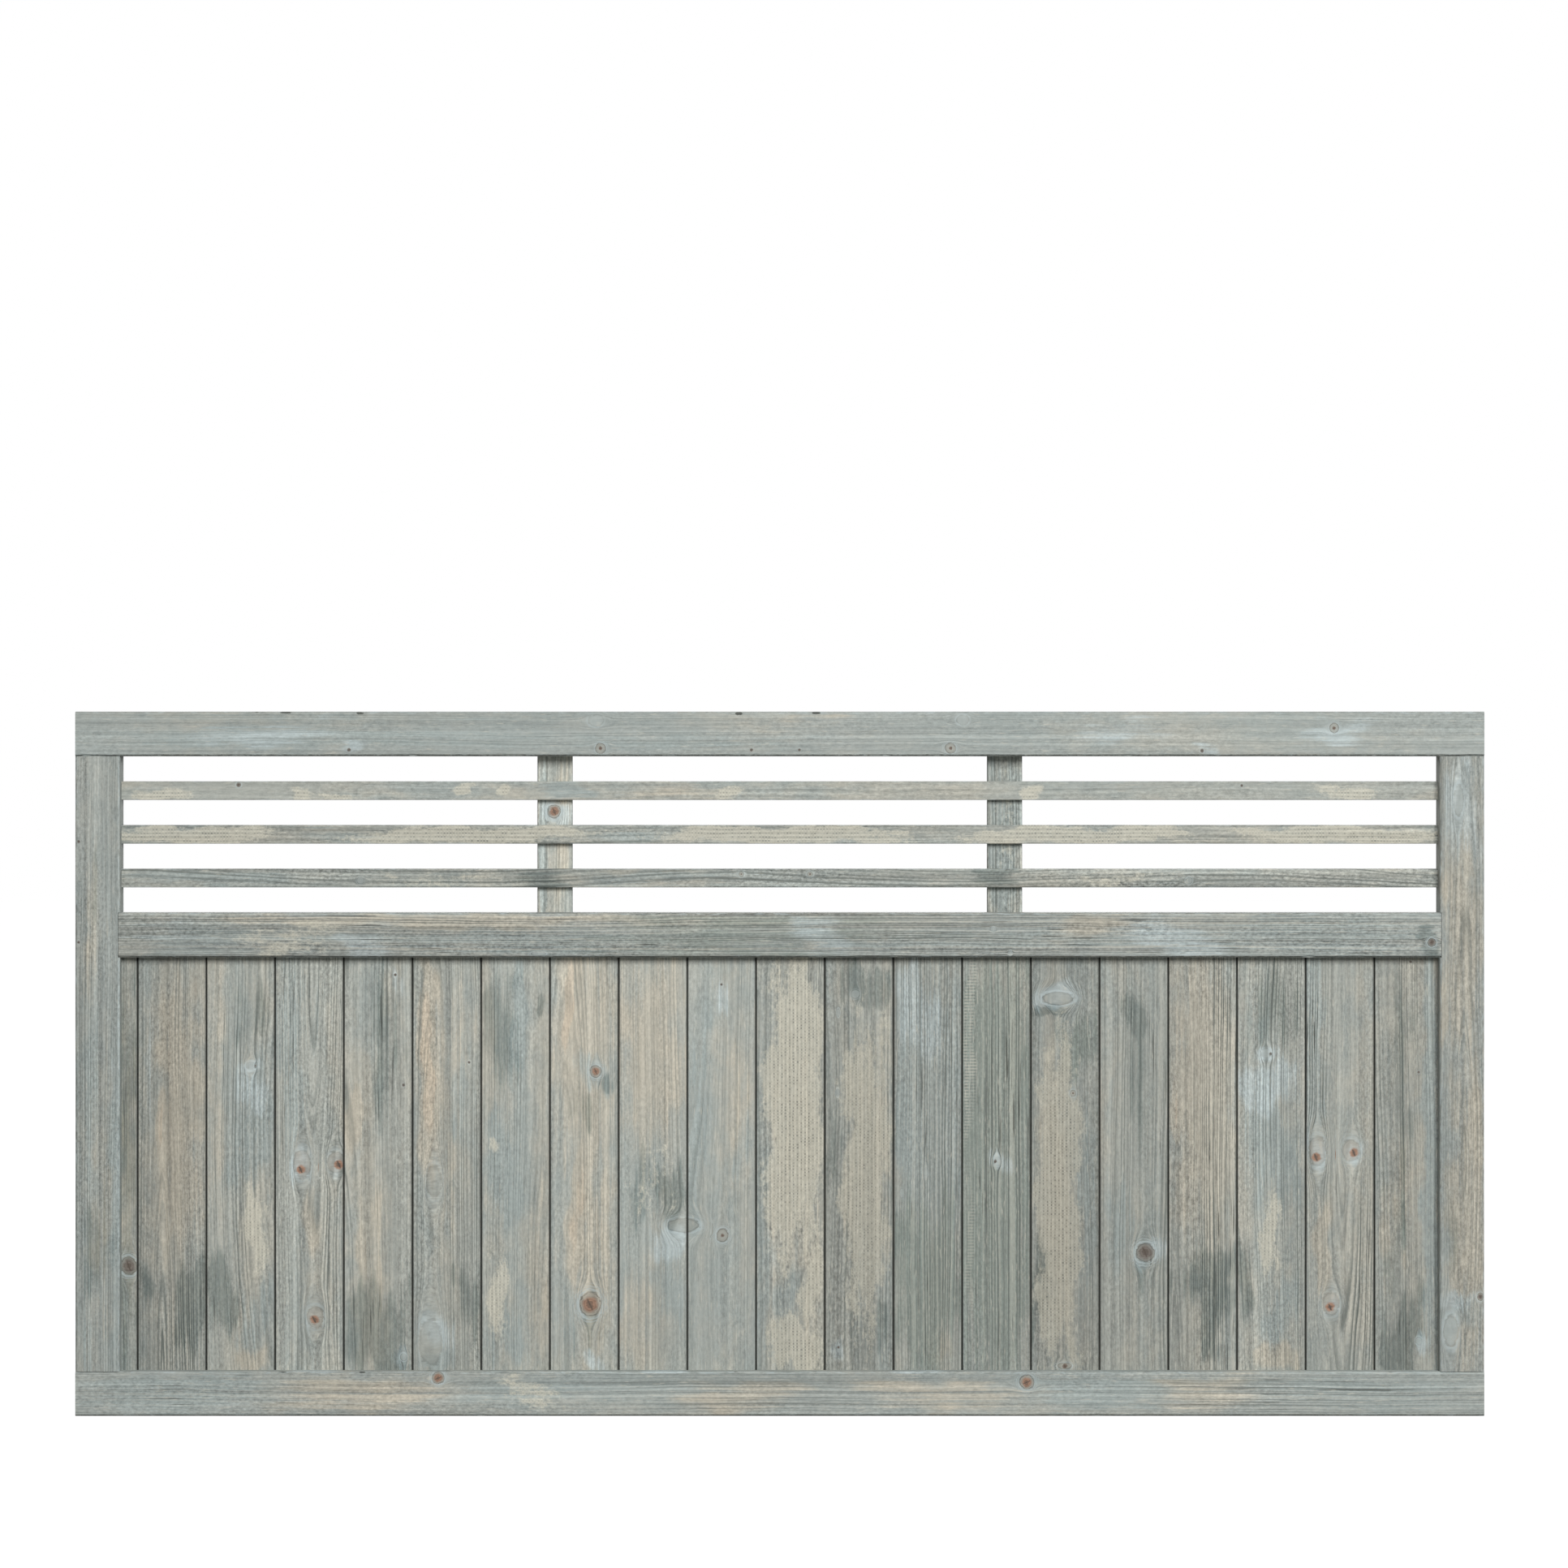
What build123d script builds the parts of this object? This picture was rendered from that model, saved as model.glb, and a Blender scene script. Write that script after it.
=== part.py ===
from build123d import *
import math
import os

# Wooden fence panel: tongue-and-groove boards in a timber frame, under an open trellis of three slats.
# X runs along the panel, the front faces -Y and Z is up.
# The origin lies under the middle of the bottom rail, halfway through the frame's depth.

# Overall size in millimetres
panel_length = 1800.0
panel_height = 900.0
frame_depth = 42.0

# Frame timbers
rail_height = 57.0  # top, middle and bottom rail, all from the same stock
stile_width = 57.0
frame_arris = 3.0  # radius on the long edges
trellis_opening = 200.0  # clear height between the top rail and the middle rail
middle_housing = 2.5  # the middle rail's ends are let this far into the stiles
middle_end_gap = 0.6  # from the middle rail's shoulder to the floor of its housing
tenon_length = 9.0  # stub tenon, measured from the stile's inner face
tenon_height = 30.0
joint_clearance = 0.15  # round each housed end

# Boards
infill_recess = 19.0  # from the frame's front down to the face of the boards and of the slats
board_thickness = 16.0
board_pitch = 88.0  # from joint to joint
first_board_face = 20.5  # what shows of the ripped board at the left stile
board_joint = 1.6  # open line between two board faces
board_arris = 0.5
tongue_length = 7.0
tongue_thickness = 4.6
tongue_from_face = 5.6
tongue_clearance = 0.15
tongue_end_gap = 1.0
frame_groove = 10.0  # depth of the groove that holds the boards
board_inset = 8.0  # how far the boards enter the groove at the top and at the stiles
groove_clearance = 0.2

# Trellis
slat_count = 3
slat_height = 24.0
slat_thickness = 11.0
slat_arris = 1.2
slat_inset = 10.0  # how far the ends enter their pockets in the stiles
slat_end_gap = 0.5
batten_count = 2
batten_width = 45.0
batten_thickness = 12.0
batten_arris = 1.5
batten_lap = 25.0  # each end is lapped this far over the back of a rail

# Screws, two at each corner of the frame and one at each end of the middle rail
screw_diameter = 5.0
screw_head = 10.0
screw_head_angle = 90.0
corner_screw_length = 90.0
corner_screw_spacing = 28.0
middle_screw_length = 100.0
head_sink = 0.4  # a screw head or a staple lies this far below the wood
hole_clearance = 0.1

# Staples, driven from behind through the battens, two to each slat and to each lapped end
staple_crown = 11.0
staple_leg = 20.0
staple_wire_width = 1.6
staple_wire_thickness = 1.2
staple_spacing = 24.0
staple_stagger = 8.0  # the two staples of a pair stand at different heights

# Heights and places that follow
front = -frame_depth / 2
back = frame_depth / 2
bay_length = panel_length - 2 * stile_width
bay_half = bay_length / 2
stile_length = panel_height - 2 * rail_height
stile_middle = (panel_length - stile_width) / 2
trellis_top = panel_height - rail_height
trellis_bottom = trellis_top - trellis_opening
middle_underside = trellis_bottom - rail_height
middle_height = trellis_bottom - rail_height / 2
board_face = front + infill_recess
board_middle = board_face + board_thickness / 2
groove_width = board_thickness + 2 * groove_clearance
groove_end = bay_half + frame_groove
tenon_foot = middle_underside + frame_groove
slat_middle = board_face + slat_thickness / 2
slat_back = board_face + slat_thickness
batten_middle = slat_back + batten_thickness / 2
batten_back = slat_back + batten_thickness
slat_gap = (trellis_opening - slat_count * slat_height) / (slat_count + 1)
slat_heights = [
    trellis_top - (number + 1) * (slat_gap + slat_height) + slat_height / 2 for number in range(slat_count)
]
batten_gap = (bay_length - batten_count * batten_width) / (batten_count + 1)
batten_places = [
    -bay_half + (number + 1) * batten_gap + (number + 0.5) * batten_width for number in range(batten_count)
]

os.makedirs("parts", exist_ok=True)


def finish(piece, name):
    piece.part.label = name
    export_step(piece.part, f"parts/{name}.step")
    print(f"{name}: {piece.part.volume / 1000:.1f} cm3")


# Where the screws and staples go: each place lies on the outer face and points out of the wood
corner_screw_places = {
    end: [
        Location((side * stile_middle + offset, 0, height), turn)
        for side in (-1, 1)
        for offset in (-corner_screw_spacing / 2, corner_screw_spacing / 2)
    ]
    for end, height, turn in (("top", panel_height, (0, 0, 0)), ("bottom", 0, (180, 0, 0)))
}
middle_screw_places = {
    side: [Location((side * panel_length / 2, board_middle, middle_height), (0, side * 90, 0))]
    for side in (-1, 1)
}
staple_rows = {
    "top": [trellis_top + batten_lap / 2],
    "slats": slat_heights,
    "bottom": [trellis_bottom - batten_lap / 2],
}
staple_places = {
    row: [
        Location(
            (place + side * staple_spacing / 2, batten_back, height + side * staple_stagger / 2),
            (-90, 0, 0),
        )
        for place in batten_places
        for height in heights
        for side in (-1, 1)
    ]
    for row, heights in staple_rows.items()
}
all_staple_places = [place for places in staple_places.values() for place in places]


# Holes, cut in whatever piece is being built
def screw_holes(places, length):
    with Locations(*places):
        CounterSinkHole(
            radius=screw_diameter / 2 + hole_clearance,
            counter_sink_radius=screw_head / 2 + hole_clearance + head_sink,
            depth=length + head_sink + hole_clearance,
            counter_sink_angle=screw_head_angle,
        )


# A staple is a crown and two legs. Its slot has the same form, wider by the clearance and open at the back
def staple_bodies(places, clearance=0.0, sink=head_sink, mode=Mode.ADD):
    inward = (Align.CENTER, Align.CENTER, Align.MAX)
    width = staple_wire_width + 2 * clearance
    thickness = staple_wire_thickness + 2 * clearance
    leg_offset = (staple_crown - staple_wire_thickness) / 2
    crowns = [place * Location((0, 0, -sink)) for place in places]
    legs = [crown * Location((side * leg_offset, 0, 0)) for crown in crowns for side in (-1, 1)]
    depth_gain = clearance + head_sink - sink
    with Locations(*crowns):
        Box(
            staple_crown + 2 * clearance,
            width,
            staple_wire_thickness + depth_gain,
            align=inward,
            mode=mode,
        )
    with Locations(*legs):
        Box(thickness, width, staple_leg + depth_gain, align=inward, mode=mode)


def staple_slots(rows):
    for row in rows:
        staple_bodies(staple_places[row], clearance=hole_clearance, sink=0.0, mode=Mode.SUBTRACT)


# Rails run along X, with the same rounded section
def rail_bar(underside, half_length):
    with BuildSketch(Plane.YZ) as section:
        with Locations((0, underside + rail_height / 2)):
            RectangleRounded(frame_depth, rail_height, frame_arris)
    extrude(section.sketch, amount=half_length, both=True)


# Notches in the back of a rail, one for the lapped end of each batten
def batten_laps(height):
    with BuildSketch(Plane.XZ.offset(-slat_back)) as notches:
        for place in batten_places:
            with Locations((place, height)):
                Rectangle(batten_width + 2 * joint_clearance, batten_lap)
    extrude(notches.sketch, amount=slat_back - back, mode=Mode.SUBTRACT)


# Top rail, over the full length
with BuildPart() as top_rail:
    rail_bar(trellis_top, panel_length / 2)
    batten_laps(trellis_top + batten_lap / 2)
    screw_holes(corner_screw_places["top"], corner_screw_length)
    staple_slots(["top"])
finish(top_rail, "top_rail")

# Bottom rail, over the full length, with a stopped groove for the feet of the boards
with BuildPart() as bottom_rail:
    rail_bar(0, panel_length / 2)
    with BuildSketch(Plane.XY.offset(rail_height)):
        with Locations((0, board_middle)):
            Rectangle(2 * groove_end, groove_width)
    extrude(amount=-frame_groove, mode=Mode.SUBTRACT)
    screw_holes(corner_screw_places["bottom"], corner_screw_length)
finish(bottom_rail, "bottom_rail")

# Middle rail, between the stiles: grooved underneath, with a stub tenon at each end
shoulder_half = bay_half + middle_housing - middle_end_gap
with BuildPart() as middle_rail:
    rail_bar(middle_underside, shoulder_half)
    with BuildSketch(Plane.YZ):
        with Locations((board_middle, tenon_foot + tenon_height / 2)):
            Rectangle(board_thickness, tenon_height)
    extrude(amount=bay_half + tenon_length, both=True)
    with BuildSketch(Plane.XY.offset(middle_underside)):
        with Locations((0, board_middle)):
            Rectangle(2 * shoulder_half, groove_width)
    extrude(amount=frame_groove, mode=Mode.SUBTRACT)
    batten_laps(trellis_bottom - batten_lap / 2)
    staple_slots(["bottom"])
    for places in middle_screw_places.values():
        screw_holes(places, middle_screw_length)
finish(middle_rail, "middle_rail")

# Stiles, between the top and bottom rails: grooved for the boards up to the middle rail's tenon,
# housed for the middle rail and pocketed for the ends of the slats
groove_top = tenon_foot + tenon_height + joint_clearance
for side, name in ((-1, "left_stile"), (1, "right_stile")):
    inner_face = Plane(origin=(side * bay_half, 0, 0), x_dir=(0, 1, 0), z_dir=(1, 0, 0))
    with BuildPart() as stile:
        with BuildSketch(Plane.XY.offset(rail_height)):
            with Locations((side * stile_middle, 0)):
                RectangleRounded(stile_width, frame_depth, frame_arris)
        extrude(amount=stile_length)
        with BuildSketch(inner_face):
            with Locations((board_middle, (rail_height + groove_top) / 2)):
                Rectangle(groove_width, groove_top - rail_height)
        extrude(amount=side * frame_groove, mode=Mode.SUBTRACT)
        with BuildSketch(inner_face):
            with Locations((0, middle_height)):
                Rectangle(frame_depth, rail_height + 2 * joint_clearance)
        extrude(amount=side * middle_housing, mode=Mode.SUBTRACT)
        with BuildSketch(inner_face):
            for height in slat_heights:
                with Locations((slat_middle, height)):
                    Rectangle(slat_thickness + 2 * joint_clearance, slat_height + 2 * joint_clearance)
        extrude(amount=side * (slat_inset + slat_end_gap), mode=Mode.SUBTRACT)
        for places in corner_screw_places.values():
            screw_holes(places, corner_screw_length)
        screw_holes(middle_screw_places[side], middle_screw_length)
    finish(stile, name)

# Boards: a tongue on the left edge and a groove in the right one
# The two end boards are ripped to width, and their sawn edge stands in the stile's groove
board_foot = rail_height - frame_groove
board_head = middle_underside + board_inset
ripped_edge = bay_half + board_inset
whole_boards = math.ceil((bay_length - first_board_face) / board_pitch) - 1
joint_lines = [-bay_half + first_board_face + number * board_pitch for number in range(whole_boards + 1)]
board_count = whole_boards + 2
tongue_middle = board_face + tongue_from_face + tongue_thickness / 2
socket_depth = tongue_length - board_joint + tongue_end_gap
for number in range(board_count):
    is_first = number == 0
    is_last = number == board_count - 1
    left_edge = -ripped_edge if is_first else joint_lines[number - 1] + board_joint / 2
    right_edge = ripped_edge if is_last else joint_lines[number] - board_joint / 2
    with BuildPart() as board:
        with BuildSketch(Plane.XY.offset(board_foot)) as section:
            with Locations(((left_edge + right_edge) / 2, board_middle)):
                Rectangle(right_edge - left_edge, board_thickness)
            chamfer(section.vertices().group_by(Axis.Y)[0], board_arris)
            if not is_first:
                with Locations((left_edge - tongue_length / 2, tongue_middle)):
                    Rectangle(tongue_length, tongue_thickness)
            if not is_last:
                with Locations((right_edge - socket_depth / 2, tongue_middle)):
                    Rectangle(socket_depth, tongue_thickness + 2 * tongue_clearance, mode=Mode.SUBTRACT)
        extrude(amount=board_head - board_foot)
    finish(board, f"board_{number + 1:02d}")

# Trellis slats, from stile to stile in front of the battens
slat_half = bay_half + slat_inset
for number, height in enumerate(slat_heights):
    with BuildPart() as slat:
        with BuildSketch(Plane.YZ):
            with Locations((slat_middle, height)):
                RectangleRounded(slat_thickness, slat_height, slat_arris)
        extrude(amount=slat_half, both=True)
        staple_slots(["slats"])
    finish(slat, f"slat_{number + 1}")

# Battens, upright behind the slats and lapped over the backs of the rails
batten_foot = trellis_bottom - batten_lap
batten_length = trellis_opening + 2 * batten_lap
for number, place in enumerate(batten_places):
    with BuildPart() as batten:
        with BuildSketch(Plane.XY.offset(batten_foot)):
            with Locations((place, batten_middle)):
                RectangleRounded(batten_width, batten_thickness, batten_arris)
        extrude(amount=batten_length)
        staple_slots(staple_rows)
    finish(batten, f"batten_{number + 1}")


# Countersunk screws
def screws(places, length):
    head_height = (screw_head - screw_diameter) / 2 / math.tan(math.radians(screw_head_angle / 2))
    inward = (Align.CENTER, Align.CENTER, Align.MAX)
    heads = [place * Location((0, 0, -head_sink)) for place in places]
    shanks = [head * Location((0, 0, -head_height)) for head in heads]
    with Locations(*heads):
        Cone(bottom_radius=screw_diameter / 2, top_radius=screw_head / 2, height=head_height, align=inward)
    with Locations(*shanks):
        Cylinder(radius=screw_diameter / 2, height=length - head_height, align=inward)


with BuildPart() as corner_screws:
    screws(corner_screw_places["top"] + corner_screw_places["bottom"], corner_screw_length)
finish(corner_screws, "corner_screws")

with BuildPart() as middle_rail_screws:
    screws(middle_screw_places[-1] + middle_screw_places[1], middle_screw_length)
finish(middle_rail_screws, "middle_rail_screws")

with BuildPart() as staples:
    staple_bodies(all_staple_places)
finish(staples, "staples")
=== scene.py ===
import math
from collections import namedtuple
from types import SimpleNamespace

import bpy
import numpy as np
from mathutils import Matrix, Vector


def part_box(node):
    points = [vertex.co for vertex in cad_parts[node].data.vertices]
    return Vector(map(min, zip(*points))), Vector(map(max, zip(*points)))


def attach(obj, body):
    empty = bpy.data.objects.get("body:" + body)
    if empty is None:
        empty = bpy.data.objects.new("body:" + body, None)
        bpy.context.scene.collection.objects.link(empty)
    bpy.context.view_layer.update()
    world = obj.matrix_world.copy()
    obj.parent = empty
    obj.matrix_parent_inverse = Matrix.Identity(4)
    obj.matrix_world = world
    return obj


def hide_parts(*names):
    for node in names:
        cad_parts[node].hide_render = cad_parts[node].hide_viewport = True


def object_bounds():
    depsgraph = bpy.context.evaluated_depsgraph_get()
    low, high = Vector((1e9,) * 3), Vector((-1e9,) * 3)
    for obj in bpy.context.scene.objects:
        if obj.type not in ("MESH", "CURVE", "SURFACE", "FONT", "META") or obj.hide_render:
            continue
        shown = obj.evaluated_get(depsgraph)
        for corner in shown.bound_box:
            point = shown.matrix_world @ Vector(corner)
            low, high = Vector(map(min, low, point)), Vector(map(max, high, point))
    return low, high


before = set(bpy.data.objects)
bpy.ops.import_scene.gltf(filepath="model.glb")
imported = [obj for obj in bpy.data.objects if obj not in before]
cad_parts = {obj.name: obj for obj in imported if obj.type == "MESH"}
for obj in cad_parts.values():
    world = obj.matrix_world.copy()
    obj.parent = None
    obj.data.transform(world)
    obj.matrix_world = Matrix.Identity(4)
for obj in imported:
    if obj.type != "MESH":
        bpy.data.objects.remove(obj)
cad_low, cad_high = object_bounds()

# The photograph's camera: it looks level along +Y, with no shift
photo_size = 1932
photo_middle = photo_size / 2
sensor_width = 36.0
eye = Vector((0.0054, -6.876, 0.8075))
lens_length = 123.22
pixels_per_ratio = lens_length / sensor_width * photo_size

# Depths of the faces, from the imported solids
frame_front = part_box("top_rail")[0].y
frame_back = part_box("top_rail")[1].y
board_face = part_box("board_02")[0].y
board_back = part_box("board_02")[1].y
slat_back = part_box("slat_1")[1].y
board_count = 20
slat_count = 3
batten_count = 2

# Joinery
frame_arris = 0.003
slat_arris = 0.0012
batten_arris = 0.0015
board_arris = 0.0007
board_joint = 0.0016
tongue_length = 0.007
tongue_thickness = 0.0046
tongue_from_face = 0.0056
tongue_clearance = 0.00015
tongue_end_gap = 0.001
groove_depth = 0.010
groove_clearance = 0.0002
joint_clearance = 0.00015
middle_housing = 0.0025
shoulder_gap = 0.0006
slat_pocket = 0.0105
tenon_height = 0.030
overcut = 0.001  # cutters stand this far out of the wood
corner_screw_length = 0.090
corner_screw_offset = 0.014  # from the middle of the stile
corner_screw_reach = 0.033  # into the stile's end
middle_screw_length = 0.100
screw_radius = 0.0025
screw_head_radius = 0.005
head_sink = 0.0004
hole_clearance = 0.0001
staple_crown = 0.011
staple_leg = 0.020
staple_wire_width = 0.0016
staple_wire_thickness = 0.0012

# Fineness of the meshes
fine_step = 0.003  # across a face that the front shows
coarse_step = 0.006
joint_step = 0.0025  # round a board's tongue and groove
length_step = 0.004
screw_step = 0.0007
thread_start, thread_full = 0.030, 0.032  # below the head
recess_height = 0.003  # of the cutter, half of it in the head
wire_rounding = 0.0003
arris_facets = 5
face_margin = 0.0004  # keeps the shading of the flat faces flat beside an arris
smooth_angle = 32.0

# Studio
floor_half = 30.0
floor_gap = 0.0004
box_width, box_height = 4.4, 3.4
box_target = Vector((0.0, 0.0, 0.45))
front_box_place, front_box_power = (2.2, -8.3, 4.1), 775.0
back_box_place, back_box_power = (0.0, 8.4, 4.1), 510.0
dome_strength = 0.2
white = (1.0, 1.0, 1.0, 1.0)

Knot = namedtuple("Knot", "px py radius stretch look heart_px heart_py", defaults=(0.0, 0.0))
Patch = namedtuple("Patch", "tone left top right bottom strength")
Growth = namedtuple("Growth", "pith_across pith_depth slope sway pitch")
Timber = namedtuple("Timber", "node slot upright outline foot head arris cutters growth")


def linear(channel):
    """One written colour channel, 0 to 255, as light."""
    share = channel / 255
    return share / 12.92 if share <= 0.04045 else ((share + 0.055) / 1.055) ** 2.4


def colour(red, green, blue):
    return (linear(red), linear(green), linear(blue), 1.0)


def on_face(px, py, depth):
    """Where a pixel of the photograph lies on the upright plane at this depth."""
    ratio = (depth - eye.y) / pixels_per_ratio
    return eye.x + (px - photo_middle) * ratio, eye.z - (py - photo_middle) * ratio


# Node helpers


class Graph:
    """Adds nodes to a tree and joins them."""

    def __init__(self, tree):
        self.tree = tree

    def feed(self, socket, value):
        if isinstance(value, bpy.types.NodeSocket):
            self.tree.links.new(value, socket)
        elif value is not None:
            socket.default_value = value

    def add(self, kind, inputs=None, **settings):
        node = self.tree.nodes.new(kind)
        for name, value in settings.items():
            setattr(node, name, value)
        for key, value in (inputs or {}).items():
            self.feed(node.inputs[key], value)
        return node

    def output(self, kind, inputs=None, **settings):
        """A new node's first output."""
        return self.add(kind, inputs, **settings).outputs[0]

    def math(self, operation, first, second=None, third=None, clamp=False):
        inputs = {0: first, 1: second, 2: third}
        return self.output("ShaderNodeMath", inputs, operation=operation, use_clamp=clamp)

    def times(self, product, *factors):
        for factor in factors:
            product = self.math("MULTIPLY", product, factor)
        return product

    def raised(self, start, value, factor, clamp=False):
        """start, raised by value times factor."""
        return self.math("MULTIPLY_ADD", value, factor, start, clamp)

    def swing(self, value, amount, start):
        """start, raised or lowered by how far a noise stands from its middle."""
        return self.raised(start, self.math("SUBTRACT", value, 0.5), amount)

    def sine(self, value, rate):
        return self.math("SINE", self.times(value, rate))

    def hump(self, value):
        """Half a wave over each whole number."""
        return self.sine(self.math("FRACT", value), math.pi)

    def vector(self, operation, first, second=None, scale=None):
        node = self.add("ShaderNodeVectorMath", {0: first, 1: second, 3: scale}, operation=operation)
        return node.outputs["Value" if operation == "LENGTH" else "Vector"]

    def split(self, vector):
        return self.add("ShaderNodeSeparateXYZ", {0: vector}).outputs

    def join(self, x=0.0, y=0.0, z=0.0):
        return self.output("ShaderNodeCombineXYZ", {0: x, 1: y, 2: z})

    def far(self, x, y):
        """How far a place lies from the middle."""
        return self.vector("LENGTH", self.join(x, y))

    def rise(self, value, low, high, bottom=0.0, top=1.0):
        """A smooth step of value, from bottom at low to top at high."""
        inputs = {"Value": value, "From Min": low, "From Max": high, "To Min": bottom, "To Max": top}
        return self.output("ShaderNodeMapRange", inputs, interpolation_type="SMOOTHSTEP")

    def fall(self, value, low, high):
        return self.rise(value, low, high, 1.0, 0.0)

    def band(self, value, start, full, fading, end):
        """1 from full to fading, and 0 below start and above end."""
        return self.times(self.rise(value, start, full), self.fall(value, fading, end))

    def noise(self, place, detail=2.0, roughness=0.5):
        inputs = {"Vector": place, "Scale": 1.0, "Detail": detail, "Roughness": roughness}
        return self.output("ShaderNodeTexNoise", inputs)

    def grain_noise(self, place, across, along, offset=0.0, detail=2.0, roughness=0.5):
        """Noise with this many spots to a metre across the grain and along it."""
        inputs = {0: place, 1: (across, across, along), 2: (offset, offset, offset)}
        scaled = self.output("ShaderNodeVectorMath", inputs, operation="MULTIPLY_ADD")
        return self.noise(scaled, detail, roughness)

    def line_noise(self, value):
        """Slow noise along one number."""
        inputs = {"W": value, "Scale": 1.0, "Detail": 1.0}
        return self.output("ShaderNodeTexNoise", inputs, noise_dimensions="1D")

    def lottery(self, number):
        """A chance value from 0 to 1 for each whole number."""
        return self.output("ShaderNodeTexWhiteNoise", {"W": number}, noise_dimensions="1D")

    def mix(self, share, first, second, blend_type="MIX"):
        node = self.add("ShaderNodeMix", data_type="RGBA", blend_type=blend_type, clamp_factor=True)
        self.feed(node.inputs["Factor"], share)
        self.feed(node.inputs[6], first)
        self.feed(node.inputs[7], second)
        return node.outputs[2]

    def over(self, base, tone, *shares):
        """base, covered by tone as far as the product of the shares."""
        return self.mix(self.times(*shares), base, tone)

    def shade(self, base, factor):
        """base, made lighter or darker by a factor."""
        return self.vector("SCALE", base, scale=factor)


# Geometry trees


def group_inputs(tree, values):
    """Named inputs of the kinds that hold these values, which they start from."""
    for name, value in values.items():
        kind = "Int" if isinstance(value, int) else "Float"
        if isinstance(value, tuple):
            kind = "Vector" if len(value) == 3 else "Color"
        socket = tree.interface.new_socket(name=name, in_out="INPUT", socket_type=f"NodeSocket{kind}")
        socket.default_value = value


def geometry_tree(name, values):
    tree = bpy.data.node_groups.new(name, "GeometryNodeTree")
    tree.is_modifier = True
    tree.interface.new_socket(name="Geometry", in_out="INPUT", socket_type="NodeSocketGeometry")
    group_inputs(tree, values)
    tree.interface.new_socket(name="Material", in_out="INPUT", socket_type="NodeSocketMaterial")
    tree.interface.new_socket(name="Geometry", in_out="OUTPUT", socket_type="NodeSocketGeometry")
    graph = Graph(tree)
    return graph, graph.add("NodeGroupInput").outputs


def finish_tree(graph, given, geometry):
    real = graph.output("GeometryNodeRealizeInstances", {"Geometry": geometry})
    finished = graph.output("GeometryNodeSetMaterial", {"Geometry": real, "Material": given["Material"]})
    graph.add("NodeGroupOutput", {"Geometry": finished})
    return graph.tree


def stand_at_points(graph, given, instance, rotation=None):
    points = graph.output("GeometryNodeMeshToPoints", {"Mesh": given["Geometry"]})
    inputs = {"Points": points, "Instance": instance, "Rotation": rotation}
    return finish_tree(graph, given, graph.output("GeometryNodeInstanceOnPoints", inputs))


def swept(graph, path, section, scale=None):
    inputs = {"Curve": path, "Profile Curve": section, "Scale": scale, "Fill Caps": True}
    return graph.output("GeometryNodeCurveToMesh", inputs)


def stepped_line(graph, start, end, step):
    line = graph.output("GeometryNodeCurvePrimitiveLine", {"Start": start, "End": end})
    return graph.output("GeometryNodeResampleCurve", {"Curve": line, "Length": step}, mode="LENGTH")


def vector_on_mesh(graph, name):
    return graph.output("GeometryNodeInputNamedAttribute", {"Name": name}, data_type="FLOAT_VECTOR")


def timber_tree():
    """A length of timber: its section swept along the grain, with arrises worn by rain and handling."""
    values = {"Foot": 0.0, "Head": 1.0, "Step": length_step, "Turn": (0.0, 0.0, 0.0)}
    graph, given = geometry_tree("timber", values | {"Wear": 0.0, "Chips": 0.0, "Seed": 0.0})
    section = graph.output("GeometryNodeMeshToCurve", {0: given["Geometry"]})
    path = stepped_line(graph, graph.join(z=given["Foot"]), graph.join(z=given["Head"]), given["Step"])
    bar = swept(graph, path, section)
    place = graph.output("GeometryNodeInputPosition")
    seeded = graph.vector("ADD", place, graph.join(given["Seed"], given["Seed"], given["Seed"]))
    worn = graph.noise(graph.vector("MULTIPLY", seeded, (90.0, 90.0, 26.0)), detail=3.0)
    chipped = graph.noise(graph.vector("MULTIPLY", seeded, (40.0, 40.0, 55.0)), detail=1.0)
    depth = graph.math(
        "ADD",
        graph.times(graph.rise(worn, 0.35, 0.75), given["Wear"]),
        graph.times(graph.rise(chipped, 0.64, 0.8), given["Chips"]),
    )
    offset = graph.vector("SCALE", vector_on_mesh(graph, "inward"), scale=depth)
    moved = graph.output("GeometryNodeSetPosition", {"Geometry": bar, "Offset": offset})
    turned = graph.output("GeometryNodeTransform", {"Geometry": moved, "Rotation": given["Turn"]})
    return finish_tree(graph, given, turned)


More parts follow.
